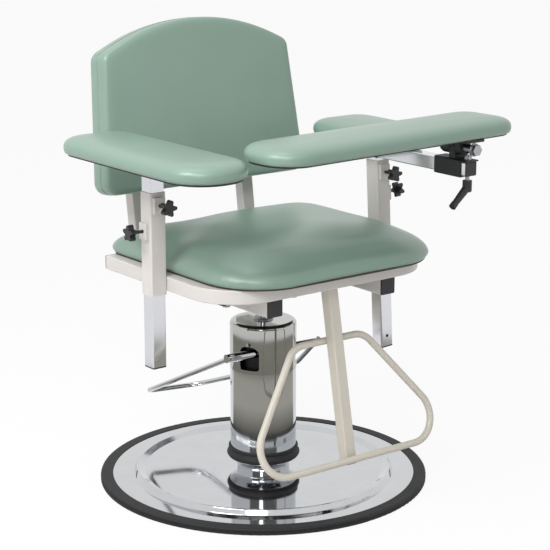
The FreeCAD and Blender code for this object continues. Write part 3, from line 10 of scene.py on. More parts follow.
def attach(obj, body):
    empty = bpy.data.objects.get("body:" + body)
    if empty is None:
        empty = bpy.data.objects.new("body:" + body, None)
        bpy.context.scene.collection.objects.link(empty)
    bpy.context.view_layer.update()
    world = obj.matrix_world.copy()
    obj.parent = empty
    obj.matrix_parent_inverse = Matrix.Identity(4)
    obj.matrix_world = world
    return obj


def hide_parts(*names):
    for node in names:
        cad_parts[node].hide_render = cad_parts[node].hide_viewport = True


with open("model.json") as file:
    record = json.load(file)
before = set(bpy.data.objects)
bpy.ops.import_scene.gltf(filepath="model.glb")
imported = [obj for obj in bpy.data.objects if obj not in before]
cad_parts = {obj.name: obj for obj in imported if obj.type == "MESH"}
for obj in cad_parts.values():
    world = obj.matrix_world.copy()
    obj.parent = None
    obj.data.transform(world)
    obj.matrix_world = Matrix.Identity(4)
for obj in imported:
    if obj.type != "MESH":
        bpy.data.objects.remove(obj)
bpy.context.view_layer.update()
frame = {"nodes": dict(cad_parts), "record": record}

# Sizes are in metres. The sitter faces -Y and the sitter's left is +X.
MM = 0.001


def linear(code):
    """A colour's linear values from its sRGB hex code."""
    values = [int(code[i:i + 2], 16) / 255 for i in (1, 3, 5)]
    return [v / 12.92 if v <= 0.04045 else ((v + 0.055) / 1.055) ** 2.4 for v in values] + [1.0]


def in_scene(name, data):
    """Puts a new object with this data in the scene."""
    piece = bpy.data.objects.new(name, data)
    bpy.context.scene.collection.objects.link(piece)
    return piece


# Camera, at the photograph's angle.
camera_data = bpy.data.cameras.new("camera")
camera_data.lens = 114.7
camera_data.sensor_width = 36
camera = in_scene("camera", camera_data)
camera.location = Vector((-1.8777, -2.4836, 1.1751))
aim = Vector((0.0174, -0.0134, 0.3854)) - camera.location
camera.rotation_euler = aim.to_track_quat("-Z", "Y").to_euler()
bpy.context.scene.camera = camera


# Materials.

# Where a Mix node keeps its two colours and their mixture.
FIRST_COLOUR, SECOND_COLOUR, MIXED_COLOUR = 6, 7, 2


def add(tree, kind, inputs=None, **settings):
    """Adds a node with its settings.

    inputs maps sockets, by name or number, to values or to other nodes' sockets.
    """
    node = tree.nodes.new(kind)
    for name, setting in settings.items():
        setattr(node, name, setting)
    for name, value in (inputs or {}).items():
        if isinstance(value, bpy.types.NodeSocket):
            tree.links.new(value, node.inputs[name])
        else:
            node.inputs[name].default_value = value
    return node


def new_material(name):
    material = bpy.data.materials.new(name)
    material.use_nodes = True
    material.node_tree.nodes.clear()
    return material, material.node_tree


def finish_material(tree, shader_inputs):
    shader = add(tree, "ShaderNodeBsdfPrincipled", shader_inputs)
    add(tree, "ShaderNodeOutputMaterial", {"Surface": shader.outputs["BSDF"]})


def per_metre(size_mm):
    """A pattern's scale from the real size of one of its cells."""
    return 1 / (size_mm * MM)


def upholstery_vinyl():
    """PVC upholstery vinyl, calendered and embossed: a soft satin skin with a pebbled leather grain."""
    material, tree = new_material("upholstery_vinyl")
    place = add(tree, "ShaderNodeTexCoord").outputs["Object"]
    # The embossed pebbles of such vinyl are about 1.6 mm across.
    pebbles = add(tree, "ShaderNodeTexVoronoi", {"Vector": place, "Scale": per_metre(1.6)},
                  feature="SMOOTH_F1")
    pores = add(tree, "ShaderNodeTexNoise", {"Vector": place, "Scale": per_metre(0.9), "Detail": 3.0})
    grain = add(tree, "ShaderNodeMath", {0: pebbles.outputs["Distance"], 1: pores.outputs["Fac"]},
                operation="ADD")
    # Foam under the skin leaves shallow waves some 60 mm long.
    waves = add(tree, "ShaderNodeTexNoise", {"Vector": place, "Scale": per_metre(60), "Detail": 2.0})
    soft_bump = add(tree, "ShaderNodeBump", {"Strength": 0.12, "Distance": 0.9 * MM,
                                             "Height": waves.outputs["Fac"]})
    grain_bump = add(tree, "ShaderNodeBump", {"Strength": 0.1, "Distance": 0.15 * MM,
                                              "Height": grain.outputs[0],
                                              "Normal": soft_bump.outputs["Normal"]})
    # The dye is a little uneven, and hands and sleeves leave faint sheen patches.
    patches = add(tree, "ShaderNodeTexNoise", {"Vector": place, "Scale": per_metre(140), "Detail": 4.0})
    tint = add(tree, "ShaderNodeMix",
               {"Factor": patches.outputs["Fac"], FIRST_COLOUR: linear("#758E80"),
                SECOND_COLOUR: linear("#7F988B")}, data_type="RGBA")
    dullness = add(tree, "ShaderNodeMapRange",
                   {"Value": patches.outputs["Fac"], "To Min": 0.31, "To Max": 0.4})
    finish_material(tree, {
        "Base Color": tint.outputs[MIXED_COLOUR],
        "Roughness": dullness.outputs["Result"],
        "IOR": 1.5,
        # The clear topcoat that keeps such vinyl clean.
        "Coat Weight": 0.35,
        "Coat Roughness": 0.4,
        "Coat IOR": 1.5,
        "Coat Normal": soft_bump.outputs["Normal"],
        "Normal": grain_bump.outputs["Normal"],
    })
    return material


def painted_steel(name, low, high, roughness):
    """Baked enamel on steel tube: satin, with the faint orange peel of sprayed paint."""
    material, tree = new_material(name)
    place = add(tree, "ShaderNodeTexCoord").outputs["Object"]
    peel = add(tree, "ShaderNodeTexNoise", {"Vector": place, "Scale": per_metre(2.5), "Detail": 2.0})
    bump = add(tree, "ShaderNodeBump", {"Strength": 0.08, "Distance": 0.1 * MM,
                                        "Height": peel.outputs["Fac"]})
    tone = add(tree, "ShaderNodeTexNoise", {"Vector": place, "Scale": per_metre(90), "Detail": 3.0})
    tint = add(tree, "ShaderNodeMix",
               {"Factor": tone.outputs["Fac"], FIRST_COLOUR: linear(low),
                SECOND_COLOUR: linear(high)}, data_type="RGBA")
    dullness = add(tree, "ShaderNodeMapRange",
                   {"Value": tone.outputs["Fac"], "To Min": roughness, "To Max": roughness + 0.08})
    finish_material(tree, {
        "Base Color": tint.outputs[MIXED_COLOUR],
        "Roughness": dullness.outputs["Result"],
        "IOR": 1.5,
        "Normal": bump.outputs["Normal"],
    })
    return material


def plated_steel(name, low, high, roughness):
    """Chromium plate on polished steel: a cool mirror with faint polishing haze."""
    material, tree = new_material(name)
    place = add(tree, "ShaderNodeTexCoord").outputs["Object"]
    haze = add(tree, "ShaderNodeTexNoise", {"Vector": place, "Scale": per_metre(35), "Detail": 4.0})
    # Fine buffing marks, drawn 1.5 mm apart so that they show.
    marks = add(tree, "ShaderNodeTexNoise", {"Vector": place, "Scale": per_metre(1.5), "Detail": 2.0})
    bump = add(tree, "ShaderNodeBump", {"Strength": 0.015, "Distance": 0.05 * MM,
                                        "Height": marks.outputs["Fac"]})
    tint = add(tree, "ShaderNodeMix",
               {"Factor": haze.outputs["Fac"], FIRST_COLOUR: linear(low),
                SECOND_COLOUR: linear(high)}, data_type="RGBA")
    dullness = add(tree, "ShaderNodeMapRange",
                   {"Value": haze.outputs["Fac"], "To Min": roughness, "To Max": roughness + 0.04})
    finish_material(tree, {
        "Base Color": tint.outputs[MIXED_COLOUR],
        "Metallic": 1.0,
        "Roughness": dullness.outputs["Result"],
        "Normal": bump.outputs["Normal"],
    })
    return material


def powder_coat():
    """Black polyester powder coat on steel: a fine even pebble, half matt."""
    material, tree = new_material("powder_coat_black")
    place = add(tree, "ShaderNodeTexCoord").outputs["Object"]
    pebble = add(tree, "ShaderNodeTexNoise", {"Vector": place, "Scale": per_metre(0.8), "Detail": 2.0})
    bump = add(tree, "ShaderNodeBump", {"Strength": 0.2, "Distance": 0.08 * MM,
                                        "Height": pebble.outputs["Fac"]})
    tint = add(tree, "ShaderNodeMix",
               {"Factor": pebble.outputs["Fac"], FIRST_COLOUR: linear("#1E1E1F"),
                SECOND_COLOUR: linear("#2A2A2B")}, data_type="RGBA")
    dullness = add(tree, "ShaderNodeMapRange",
                   {"Value": pebble.outputs["Fac"], "To Min": 0.42, "To Max": 0.55})
    finish_material(tree, {
        "Base Color": tint.outputs[MIXED_COLOUR],
        "Roughness": dullness.outputs["Result"],
        "IOR": 1.5,
        "Normal": bump.outputs["Normal"],
    })
    return material


def zinc_plate():
    """Zinc-plated steel hardware: grey, slightly blue, dulled unevenly by handling."""
    material, tree = new_material("zinc_plated_steel")
    place = add(tree, "ShaderNodeTexCoord").outputs["Object"]
    bloom = add(tree, "ShaderNodeTexNoise", {"Vector": place, "Scale": per_metre(5), "Detail": 4.0})
    tint = add(tree, "ShaderNodeMix",
               {"Factor": bloom.outputs["Fac"], FIRST_COLOUR: linear("#9A9C9E"),
                SECOND_COLOUR: linear("#BDBFC0")}, data_type="RGBA")
    dullness = add(tree, "ShaderNodeMapRange",
                   {"Value": bloom.outputs["Fac"], "To Min": 0.28, "To Max": 0.45})
    finish_material(tree, {
        "Base Color": tint.outputs[MIXED_COLOUR],
        "Metallic": 1.0,
        "Roughness": dullness.outputs["Result"],
    })
    return material


def cast_iron():
    """Machined grey iron, oiled: dark, with the specks of its graphite."""
    material, tree = new_material("oiled_cast_iron")
    place = add(tree, "ShaderNodeTexCoord").outputs["Object"]
    specks = add(tree, "ShaderNodeTexNoise", {"Vector": place, "Scale": per_metre(2), "Detail": 5.0})
    tint = add(tree, "ShaderNodeMix",
               {"Factor": specks.outputs["Fac"], FIRST_COLOUR: linear("#1A1A1A"),
                SECOND_COLOUR: linear("#2C2B2A")}, data_type="RGBA")
    dullness = add(tree, "ShaderNodeMapRange",
                   {"Value": specks.outputs["Fac"], "To Min": 0.35, "To Max": 0.55})
    finish_material(tree, {
        "Base Color": tint.outputs[MIXED_COLOUR],
        "Metallic": 0.6,
        "Roughness": dullness.outputs["Result"],
    })
    return material


def moulded_rubber():
    """Black vulcanised rubber: matt, with a dusty bloom."""
    material, tree = new_material("moulded_rubber")
    place = add(tree, "ShaderNodeTexCoord").outputs["Object"]
    bloom = add(tree, "ShaderNodeTexNoise", {"Vector": place, "Scale": per_metre(30), "Detail": 5.0})
    fine = add(tree, "ShaderNodeTexNoise", {"Vector": place, "Scale": per_metre(1.0), "Detail": 2.0})
    bump = add(tree, "ShaderNodeBump", {"Strength": 0.15, "Distance": 0.1 * MM,
                                        "Height": fine.outputs["Fac"]})
    tint = add(tree, "ShaderNodeMix",
               {"Factor": bloom.outputs["Fac"], FIRST_COLOUR: linear("#121214"),
                SECOND_COLOUR: linear("#1D1D1F")}, data_type="RGBA")
    dullness = add(tree, "ShaderNodeMapRange",
                   {"Value": bloom.outputs["Fac"], "To Min": 0.6, "To Max": 0.75})
    finish_material(tree, {
        "Base Color": tint.outputs[MIXED_COLOUR],
        "Roughness": dullness.outputs["Result"],
        "IOR": 1.5,
        "Normal": bump.outputs["Normal"],
    })
    return material


def moulded_plastic(name, low, high, roughness):
    """Injection-moulded nylon or polypropylene: even, with a faint spark-eroded texture."""
    material, tree = new_material(name)
    place = add(tree, "ShaderNodeTexCoord").outputs["Object"]
    fine = add(tree, "ShaderNodeTexNoise", {"Vector": place, "Scale": per_metre(0.7), "Detail": 2.0})
    bump = add(tree, "ShaderNodeBump", {"Strength": 0.1, "Distance": 0.05 * MM,
                                        "Height": fine.outputs["Fac"]})
    tint = add(tree, "ShaderNodeMix",
               {"Factor": fine.outputs["Fac"], FIRST_COLOUR: linear(low),
                SECOND_COLOUR: linear(high)}, data_type="RGBA")
    dullness = add(tree, "ShaderNodeMapRange",
                   {"Value": fine.outputs["Fac"], "To Min": roughness, "To Max": roughness + 0.1})
    finish_material(tree, {
        "Base Color": tint.outputs[MIXED_COLOUR],
        "Roughness": dullness.outputs["Result"],
        "IOR": 1.5,
        "Normal": bump.outputs["Normal"],
    })
    return material


def underside_board():
    """Birch plywood stained dark: long grain with fine open pores."""
    material, tree = new_material("stained_plywood")
    place = add(tree, "ShaderNodeTexCoord").outputs["Object"]
    # The grain is drawn out along Y.
    stretched = add(tree, "ShaderNodeMapping", {"Vector": place, "Scale": (1.0, 0.08, 1.0)})
    # Annual rings show as streaks about 4 mm apart.
    streaks = add(tree, "ShaderNodeTexNoise", {"Vector": stretched.outputs["Vector"],
                                               "Scale": per_metre(4), "Detail": 6.0})
    tint = add(tree, "ShaderNodeMix",
               {"Factor": streaks.outputs["Fac"], FIRST_COLOUR: linear("#2B2825"),
                SECOND_COLOUR: linear("#453F39")}, data_type="RGBA")
    dullness = add(tree, "ShaderNodeMapRange",
                   {"Value": streaks.outputs["Fac"], "To Min": 0.6, "To Max": 0.75})
    finish_material(tree, {
        "Base Color": tint.outputs[MIXED_COLOUR],
        "Roughness": dullness.outputs["Result"],
        "IOR": 1.5,
    })
    return material


vinyl = upholstery_vinyl()
frame_enamel = painted_steel("enamel_warm_grey", "#C7C2BE", "#CFCBC7", 0.32)
footrest_enamel = painted_steel("enamel_cream", "#C2BCB0", "#CBC5B9", 0.34)
chrome = plated_steel("chrome_plate", "#BFC1C4", "#CBCDCF", 0.05)
# The cover's darker, warmer tint is a painted reflection, not a plating of its own.
cover_chrome_painted_dark = plated_steel("chrome_plate_cover_painted_dark", "#AEAFAC", "#BBBCB9", 0.04)
bright_chrome = plated_steel("chrome_tube", "#D2D3D8", "#DEDFE3", 0.09)
black_steel = powder_coat()
zinc = zinc_plate()
iron = cast_iron()
rubber = moulded_rubber()
cap_plastic = moulded_plastic("cap_polypropylene", "#242425", "#2E2E2F", 0.5)
knob_nylon = moulded_plastic("knob_nylon", "#161617", "#1E1E1F", 0.3)
stained_ply = underside_board()

SLOT_FINISH = {
    "vinyl": vinyl,
    "plywood": stained_ply,
    "frame_paint": frame_enamel,
    "footrest_paint": footrest_enamel,
    "chrome": chrome,
    "bright_tube": bright_chrome,
    "black_steel": black_steel,
    "zinc": zinc,
    "cast": iron,
    "rubber": rubber,
    "cap_plastic": cap_plastic,
    "knob_plastic": knob_nylon,
}
for subpart in frame["record"]["subparts"]:
    node = frame["nodes"][subpart["node"]]
    node.data.materials.clear()
    node.data.materials.append(SLOT_FINISH[subpart["material_slot"]])
# The pump's cover is a separate pressing. Its plating is tinted darker and warmer than the tube below
# it, a painted reflection of the dim olive surroundings it mirrors.
frame["nodes"]["pump_cover"].data.materials[0] = cover_chrome_painted_dark


# Cushions.

CROWN_POWER = 2.2  # How flat a cushion's crown stays before it falls to its edge.


def shade_smooth(data):
    for polygon in data.polygons:
        polygon.use_smooth = True


def apply_modifiers(piece):
    """Bakes a piece's modifiers into a plain mesh."""
    depsgraph = bpy.context.evaluated_depsgraph_get()
    baked = bpy.data.meshes.new_from_object(piece.evaluated_get(depsgraph))
    piece.modifiers.clear()
    old = piece.data
    piece.data = baked
    baked.name = old.name
    bpy.data.meshes.remove(old)


def rounded_outline(corners, inset=0.0, least=4 * MM, arc_steps=12, run_steps=10):
    """Points round a closed outline of (x, y, radius) corners, drawn in by inset.

    No corner gets a smaller radius than least.
    """
    count = len(corners)
    arcs = []
    for index, (x, y, radius) in enumerate(corners):
        corner = Vector((x, y))
        before = Vector(corners[index - 1][:2])
        after = Vector(corners[(index + 1) % count][:2])
        inward = (corner - before).normalized()
        outward = (after - corner).normalized()
        turn = inward.angle(outward)
        reach = radius * math.tan(turn / 2)
        entry = corner - inward * reach
        centre = entry + Vector((-inward.y, inward.x)) * radius
        start = math.atan2(entry.y - centre.y, entry.x - centre.x)
        drawn = max(radius - inset, least)
        slip = (radius - inset - drawn) / math.cos(turn / 2)
        middle = start + turn / 2
        centre = centre + Vector((math.cos(middle), math.sin(middle))) * slip
        arcs.append([
            centre + Vector((math.cos(start + turn * k / arc_steps),
                             math.sin(start + turn * k / arc_steps))) * drawn
            for k in range(arc_steps + 1)
        ])
    points = []
    for index, arc in enumerate(arcs):
        points.extend(arc)
        following = arcs[(index + 1) % count][0]
        for k in range(1, run_steps):
            points.append(arc[-1].lerp(following, k / run_steps))
    return points


def cushion_mesh(name, corners, levels, dome, dome_rings=9, least=4 * MM, place=None):
    """A closed, crowned cushion: side levels are (height, inset), then rings swell by dome."""
    mesh = bmesh.new()
    rings = [[mesh.verts.new((p.x, p.y, height)) for p in rounded_outline(corners, inset, least)]
             for height, inset in levels]
    rim = rounded_outline(corners, levels[-1][1], least)
    top = levels[-1][0]
    middle = sum(rim, Vector((0, 0))) / len(rim)
    for k in range(1, dome_rings):
        share = 1 - k / dome_rings
        height = top + dome * (1 - share ** CROWN_POWER)
        rings.append([mesh.verts.new((*(middle + (p - middle) * share), height)) for p in rim])
    for lower, upper in zip(rings, rings[1:]):
        for k in range(len(lower)):
            follower = (k + 1) % len(lower)
            mesh.faces.new((lower[k], lower[follower], upper[follower], upper[k]))
    crown = mesh.verts.new((middle.x, middle.y, top + dome))
    foot = mesh.verts.new((middle.x, middle.y, levels[0][0]))
    for k in range(len(rim)):
        follower = (k + 1) % len(rim)
        mesh.faces.new((rings[-1][k], rings[-1][follower], crown))
        mesh.faces.new((rings[0][follower], rings[0][k], foot))
    if place is not None:
        mesh.transform(place)
    bmesh.ops.recalc_face_normals(mesh, faces=mesh.faces)
    data = bpy.data.meshes.new(name)
    mesh.to_mesh(data)
    mesh.free()
    data.materials.append(vinyl)
    shade_smooth(data)
    piece = in_scene(name, data)
    smooth = piece.modifiers.new("smooth", "SUBSURF")
    smooth.levels = smooth.render_levels = 1
    apply_modifiers(piece)
    return piece


def points_of(piece):
    """The mesh's points as rows of numbers."""
    points = np.empty(len(piece.data.vertices) * 3)
    piece.data.vertices.foreach_get("co", points)
    return points.reshape(-1, 3)


SWELL_FRAMES = 20
EVENING_PASSES = 60
LEAST_MOVE = 1e-9  # Keeps a still point's share of the cap finite.


def swell(piece, voxel, pressure, cap, held_below):
    """Swells a cushion as its foam fills its cover: cloth under pressure, held at its foot.

    Foam smooths the cover's small wrinkles, so each point takes the mean move of its
    neighbourhood, and none moves further than cap.
    """
    remesh = piece.modifiers.new("remesh", "REMESH")
    remesh.mode = "VOXEL"
    remesh.voxel_size = voxel
    apply_modifiers(piece)
    held = piece.vertex_groups.new(name="held")
    held.add([v.index for v in piece.data.vertices if v.co.z < held_below], 1.0, "REPLACE")
    cloth = piece.modifiers.new("cover", "CLOTH")
    cloth.settings.quality = 5
    cloth.settings.use_pressure = True
    cloth.settings.uniform_pressure_force = pressure
    cloth.settings.vertex_group_mass = "held"
    cloth.settings.effector_weights.gravity = 0
    cloth.point_cache.frame_start = 1
    cloth.point_cache.frame_end = SWELL_FRAMES
    for moment in range(1, SWELL_FRAMES + 1):
        bpy.context.scene.frame_set(moment)
    slack = points_of(piece)
    apply_modifiers(piece)
    moves = points_of(piece) - slack
    ends = np.empty(len(piece.data.edges) * 2, dtype=np.int32)
    piece.data.edges.foreach_get("vertices", ends)
    ends = ends.reshape(-1, 2)
    neighbours = np.bincount(ends.ravel(), minlength=len(slack))[:, None]
    for _ in range(EVENING_PASSES):
        sums = np.zeros_like(moves)
        np.add.at(sums, ends[:, 0], moves[ends[:, 1]])
        np.add.at(sums, ends[:, 1], moves[ends[:, 0]])
        moves = (moves + sums / neighbours) / 2
    lengths = np.linalg.norm(moves, axis=1, keepdims=True)
    moves *= np.minimum(1.0, cap / np.maximum(lengths, LEAST_MOVE))
    piece.data.vertices.foreach_set("co", (slack + moves).ravel())
    bpy.context.scene.frame_set(1)
    piece.vertex_groups.clear()


def smooth_over(piece, passes):
    """Evens out a remeshed skin, then rounds it with one subdivision."""
    even = piece.modifiers.new("even", "SMOOTH")
    even.factor = 0.5
    even.iterations = passes
    rounded = piece.modifiers.new("rounded", "SUBSURF")
    rounded.levels = rounded.render_levels = 1
    apply_modifiers(piece)
    shade_smooth(piece.data)


def box_corners(x_low, x_high, y_low, y_high, front_radius, rear_radius):
    """A rectangle's corners with one radius at the front and one at the rear."""
    return [(x_low, y_low, front_radius), (x_high, y_low, front_radius),
            (x_high, y_high, rear_radius), (x_low, y_high, rear_radius)]


def pad_levels(low, thickness):
    """An arm pad's side: drawn in at its foot, widest a third up, rounded over at the top."""
    shares = ((0.0, 0.13), (0.08, 0.08), (0.2, 0.02), (0.35, 0.0), (0.52, 0.02), (0.66, 0.1),
              (0.78, 0.26), (0.87, 0.5), (0.93, 0.86), (0.965, 1.3))
    return [(low + level * thickness, inset * thickness) for level, inset in shares]


PAD_THICKNESS = 33.5 * MM
PAD_CROWN = 1.2 * MM
PAD_FRONT_RADIUS, PAD_REAR_RADIUS = 70 * MM, 49 * MM
RIGHT_PAD_LOW, LEFT_PAD_LOW = 632.9 * MM, 614.4 * MM
right_pad = cushion_mesh(
    "right_arm_cushion",
    box_corners(x_low=-0.35567, x_high=-0.21067, y_low=-0.287, y_high=0.1345,
                front_radius=PAD_FRONT_RADIUS, rear_radius=PAD_REAR_RADIUS),
    pad_levels(RIGHT_PAD_LOW, PAD_THICKNESS), PAD_CROWN)
left_pad = cushion_mesh(
    "left_arm_cushion",
    box_corners(x_low=0.1775, x_high=0.3225, y_low=-0.115, y_high=0.1088,
                front_radius=PAD_FRONT_RADIUS, rear_radius=PAD_REAR_RADIUS),
    pad_levels(LEFT_PAD_LOW, PAD_THICKNESS), PAD_CROWN)

# The long pad lies across the front, turned a little on its hinge.
FLIP_HALF_LENGTH, FLIP_HALF_WIDTH = 281.3 * MM, 71.4 * MM
FLIP_FREE_RADIUS, FLIP_HINGE_RADIUS = 61.3 * MM, 49 * MM
FLIP_LOW, FLIP_THICKNESS = 1.5 * MM, 31.8 * MM
flip_place = (Matrix.Translation((0.0722, -0.2421, 0.649975))
              @ Matrix.Rotation(math.radians(3.3), 4, "Z"))
flip_cushion = cushion_mesh(
    "flip_arm_cushion",
    [(-FLIP_HALF_LENGTH, -FLIP_HALF_WIDTH, FLIP_FREE_RADIUS),
     (FLIP_HALF_LENGTH, -FLIP_HALF_WIDTH, FLIP_HINGE_RADIUS),
     (FLIP_HALF_LENGTH, FLIP_HALF_WIDTH, FLIP_HINGE_RADIUS),
     (-FLIP_HALF_LENGTH, FLIP_HALF_WIDTH, FLIP_FREE_RADIUS)],
    pad_levels(FLIP_LOW, FLIP_THICKNESS), PAD_CROWN, place=flip_place)


# Seat: a quarter-ellipse edge and a dome, swollen by its foam towards the front, with a trough
# behind the right post and a dent where it presses on the left one.
SEAT_LOW, SEAT_EDGE_LOW, SEAT_TOP = 0.42865, 0.43865, 0.4807
SEAT_EDGE_RISE, SEAT_EDGE_RUN, SEAT_DOME = 36 * MM, 76 * MM, 6 * MM
SEAT_FRONT_RADIUS, SEAT_REAR_RADIUS = 120 * MM, 46 * MM
SEAT_FOOT = ((0.0, 8 * MM), (4 * MM, 3 * MM))  # Rise and inset where the cover turns under.
SEAT_EDGE_STEPS, SEAT_RINGS = 8, 10
SEAT_VOXEL, SEAT_PRESSURE, SEAT_CAP, SEAT_HELD = 6 * MM, 4.0, 7 * MM, 6 * MM
SEAT_PASSES = 4

# The foam's form grows from nothing at the foot to its full height near the top.
FORM_START, FORM_FULL = SEAT_LOW + 4 * MM, SEAT_TOP - 8 * MM
FRONT_LIFT = 8 * MM
FRONT_MIDDLE, FRONT_SPREAD = (-0.04, -0.125), (0.140, 0.065)
TROUGH_START = (-0.235, -0.015)
TROUGH_RUN = Vector((0.78, 0.626))
TROUGH_LENGTH, TROUGH_LEAD = 300 * MM, 50 * MM
TROUGH_DEPTH, TROUGH_SPREAD = 17 * MM, 30 * MM

# The left post's inner face, and how far from its middle the dent eases off.
POST_LEAN = math.radians(3.1)
POST_FOOT, POST_FACE, POST_MIDDLE = 0.42815, 0.2411, -0.028
POST_GAP, DENT_HALF, DENT_EASE = 0.8 * MM, 17.5 * MM, 22 * MM


def clamped(value):
    """The value held between 0 and 1."""
    return min(max(value, 0.0), 1.0)


def bell(along, middle, width):
    """A bell curve of height 1."""
    return math.exp(-((along - middle) / width) ** 2 / 2)


def foam_form(point):
    """Lifts the sitter's front of the seat and draws a trough back from the right post."""
    share = clamped((point.z - FORM_START) / (FORM_FULL - FORM_START))
    front = (FRONT_LIFT * bell(point.x, FRONT_MIDDLE[0], FRONT_SPREAD[0])
             * bell(point.y, FRONT_MIDDLE[1], FRONT_SPREAD[1]))
    beyond = Vector((point.x - TROUGH_START[0], point.y - TROUGH_START[1]))
    along = beyond.dot(TROUGH_RUN)
    fading = clamped(1 - along / TROUGH_LENGTH) * clamped(1 + along / TROUGH_LEAD)
    trough = TROUGH_DEPTH * fading * bell(beyond.cross(TROUGH_RUN), 0.0, TROUGH_SPREAD)
    point.z += share * (front - trough)
    return point


def dent_by_post(point):
    """Keeps the seat's side off the left post, which leans inward."""
    face = POST_FACE - math.tan(POST_LEAN) * (point.z - POST_FOOT) - POST_GAP
    share = clamped((abs(point.y - POST_MIDDLE) - DENT_HALF) / DENT_EASE)
    share = share * share * (3 - 2 * share)
    if point.x > face:
        point.x = face + (point.x - face) * share
    return point


seat_levels = [(SEAT_LOW + rise, inset) for rise, inset in SEAT_FOOT]
for k in range(SEAT_EDGE_STEPS + 1):
    angle = math.radians(90 * k / SEAT_EDGE_STEPS)
    seat_levels.append((SEAT_EDGE_LOW + SEAT_EDGE_RISE * math.sin(angle),
                        SEAT_EDGE_RUN * (1 - math.cos(angle))))
seat = cushion_mesh(
    "seat_upholstery",
    box_corners(x_low=-0.232, x_high=0.252, y_low=-0.253, y_high=0.190,
                front_radius=SEAT_FRONT_RADIUS, rear_radius=SEAT_REAR_RADIUS),
    seat_levels, SEAT_DOME, dome_rings=SEAT_RINGS, least=SEAT_REAR_RADIUS)
swell(seat, SEAT_VOXEL, SEAT_PRESSURE, SEAT_CAP, SEAT_LOW + SEAT_HELD)
for vertex in seat.data.vertices:
    vertex.co = dent_by_post(foam_form(vertex.co))
smooth_over(seat, SEAT_PASSES)


# Back: an arched outline standing on the leaning uprights.
BACK_LEAN = math.radians(7.7)
BACK_THICK, BACK_CROWN, BACK_RINGS = 56.3 * MM, 1.4 * MM, 10
BOARD_SPACE = 5 * MM
BACK_FOOT, BACK_FOOT_HALF, BACK_FOOT_RADIUS = 123 * MM, 228.5 * MM, 23.4 * MM
ARCH_RADIUS, ARCH_TOP = 416 * MM, 433.6 * MM
ARCH_SHARE = 0.93  # Of the shoulder's half width, what the arch's arc spans.
SHOULDER_HALF, SHOULDER_RADIUS = 209 * MM, 22.4 * MM
SEAM_SHARE = 0.56  # Of the back's thickness, where its seam runs.
arch_run = SHOULDER_HALF * ARCH_SHARE
arch_turn = math.asin(arch_run / ARCH_RADIUS)
arch_end = ARCH_TOP - ARCH_RADIUS * (1 - math.cos(arch_turn))
shoulder_height = arch_end - (SHOULDER_HALF - arch_run) * math.tan(arch_turn)
back_corners = [
    (-BACK_FOOT_HALF, BACK_FOOT, BACK_FOOT_RADIUS),
    (BACK_FOOT_HALF, BACK_FOOT, BACK_FOOT_RADIUS),
    (SHOULDER_HALF, shoulder_height, SHOULDER_RADIUS),
    (0.0, arch_end + arch_run * math.tan(arch_turn), ARCH_RADIUS),
    (-SHOULDER_HALF, shoulder_height, SHOULDER_RADIUS),
]
back_place = (Matrix.Translation((0, 0.2028, 0.40275)) @ Matrix.Rotation(-BACK_LEAN, 4, "X")
              @ Matrix.Rotation(math.radians(90), 4, "X"))
# The side, as shares of the thickness: a sewn seam runs round it, where the front panel meets
# the boxing strip.
BACK_SIDE = ((0.0, 0.1), (0.05, 0.045), (0.14, 0.0), (0.3, 0.0), (0.45, 0.0), (0.52, 0.004),
             (0.545, 0.012), (SEAM_SHARE, 0.035), (0.575, 0.012), (0.6, 0.002), (0.7, 0.0),
             (0.8, 0.004), (0.87, 0.02), (0.92, 0.055), (0.95, 0.11), (0.968, 0.18), (0.978, 0.26))
back_levels = [(BOARD_SPACE + share * BACK_THICK, inset * BACK_THICK)
               for share, inset in BACK_SIDE]
back = cushion_mesh("back_upholstery", back_corners, back_levels, BACK_CROWN,
                    dome_rings=BACK_RINGS, place=back_place)


# Stitches: a lock-stitched row beside the back's seam.

STITCH_PITCH, STITCH_LENGTH, THREAD_RADIUS = 4.0 * MM, 2.9 * MM, 0.45 * MM
STITCH_OFFSET, STITCH_SINK = 3 * MM, 0.1 * MM


def stitch_tree():
    """Sets a stitch every pitch along a path, each a small pill of thread laid along it."""
    tree = bpy.data.node_groups.new("seam_stitches", "GeometryNodeTree")
    tree.interface.new_socket("Path", in_out="INPUT", socket_type="NodeSocketGeometry")
    for name in ("Pitch", "Stitch Length", "Thread Radius"):
        tree.interface.new_socket(name, in_out="INPUT", socket_type="NodeSocketFloat")
    tree.interface.new_socket("Thread", in_out="INPUT", socket_type="NodeSocketMaterial")
    tree.interface.new_socket("Geometry", in_out="OUTPUT", socket_type="NodeSocketGeometry")
    given = add(tree, "NodeGroupInput")
    path = add(tree, "GeometryNodeMeshToCurve", {"Mesh": given.outputs["Path"]})
    points = add(tree, "GeometryNodeCurveToPoints",
                 {"Curve": path.outputs["Curve"], "Length": given.outputs["Pitch"]}, mode="LENGTH")
    thread = add(tree, "GeometryNodeMeshUVSphere", {"Segments": 6, "Rings": 6,
                                                    "Radius": given.outputs["Thread Radius"]})
    slender = add(tree, "ShaderNodeMath", {0: given.outputs["Stitch Length"],
                                           1: given.outputs["Thread Radius"]}, operation="DIVIDE")
    halved = add(tree, "ShaderNodeMath", {0: slender.outputs[0], 1: 2.0}, operation="DIVIDE")
    stretch = add(tree, "ShaderNodeCombineXYZ", {"X": 1.0, "Y": 1.0, "Z": halved.outputs[0]})
    stitch = add(tree, "GeometryNodeTransform", {"Geometry": thread.outputs["Mesh"],
                                                 "Scale": stretch.outputs[0]})
    row = add(tree, "GeometryNodeInstanceOnPoints", {"Points": points.outputs["Points"],
                                                     "Instance": stitch.outputs["Geometry"],
                                                     "Rotation": points.outputs["Rotation"]})
    whole = add(tree, "GeometryNodeRealizeInstances", {"Geometry": row.outputs["Instances"]})
    dressed = add(tree, "GeometryNodeSetMaterial", {"Geometry": whole.outputs["Geometry"],
                                                    "Material": given.outputs["Thread"]})
    add(tree, "NodeGroupOutput", {"Geometry": dressed.outputs["Geometry"]})
    return tree


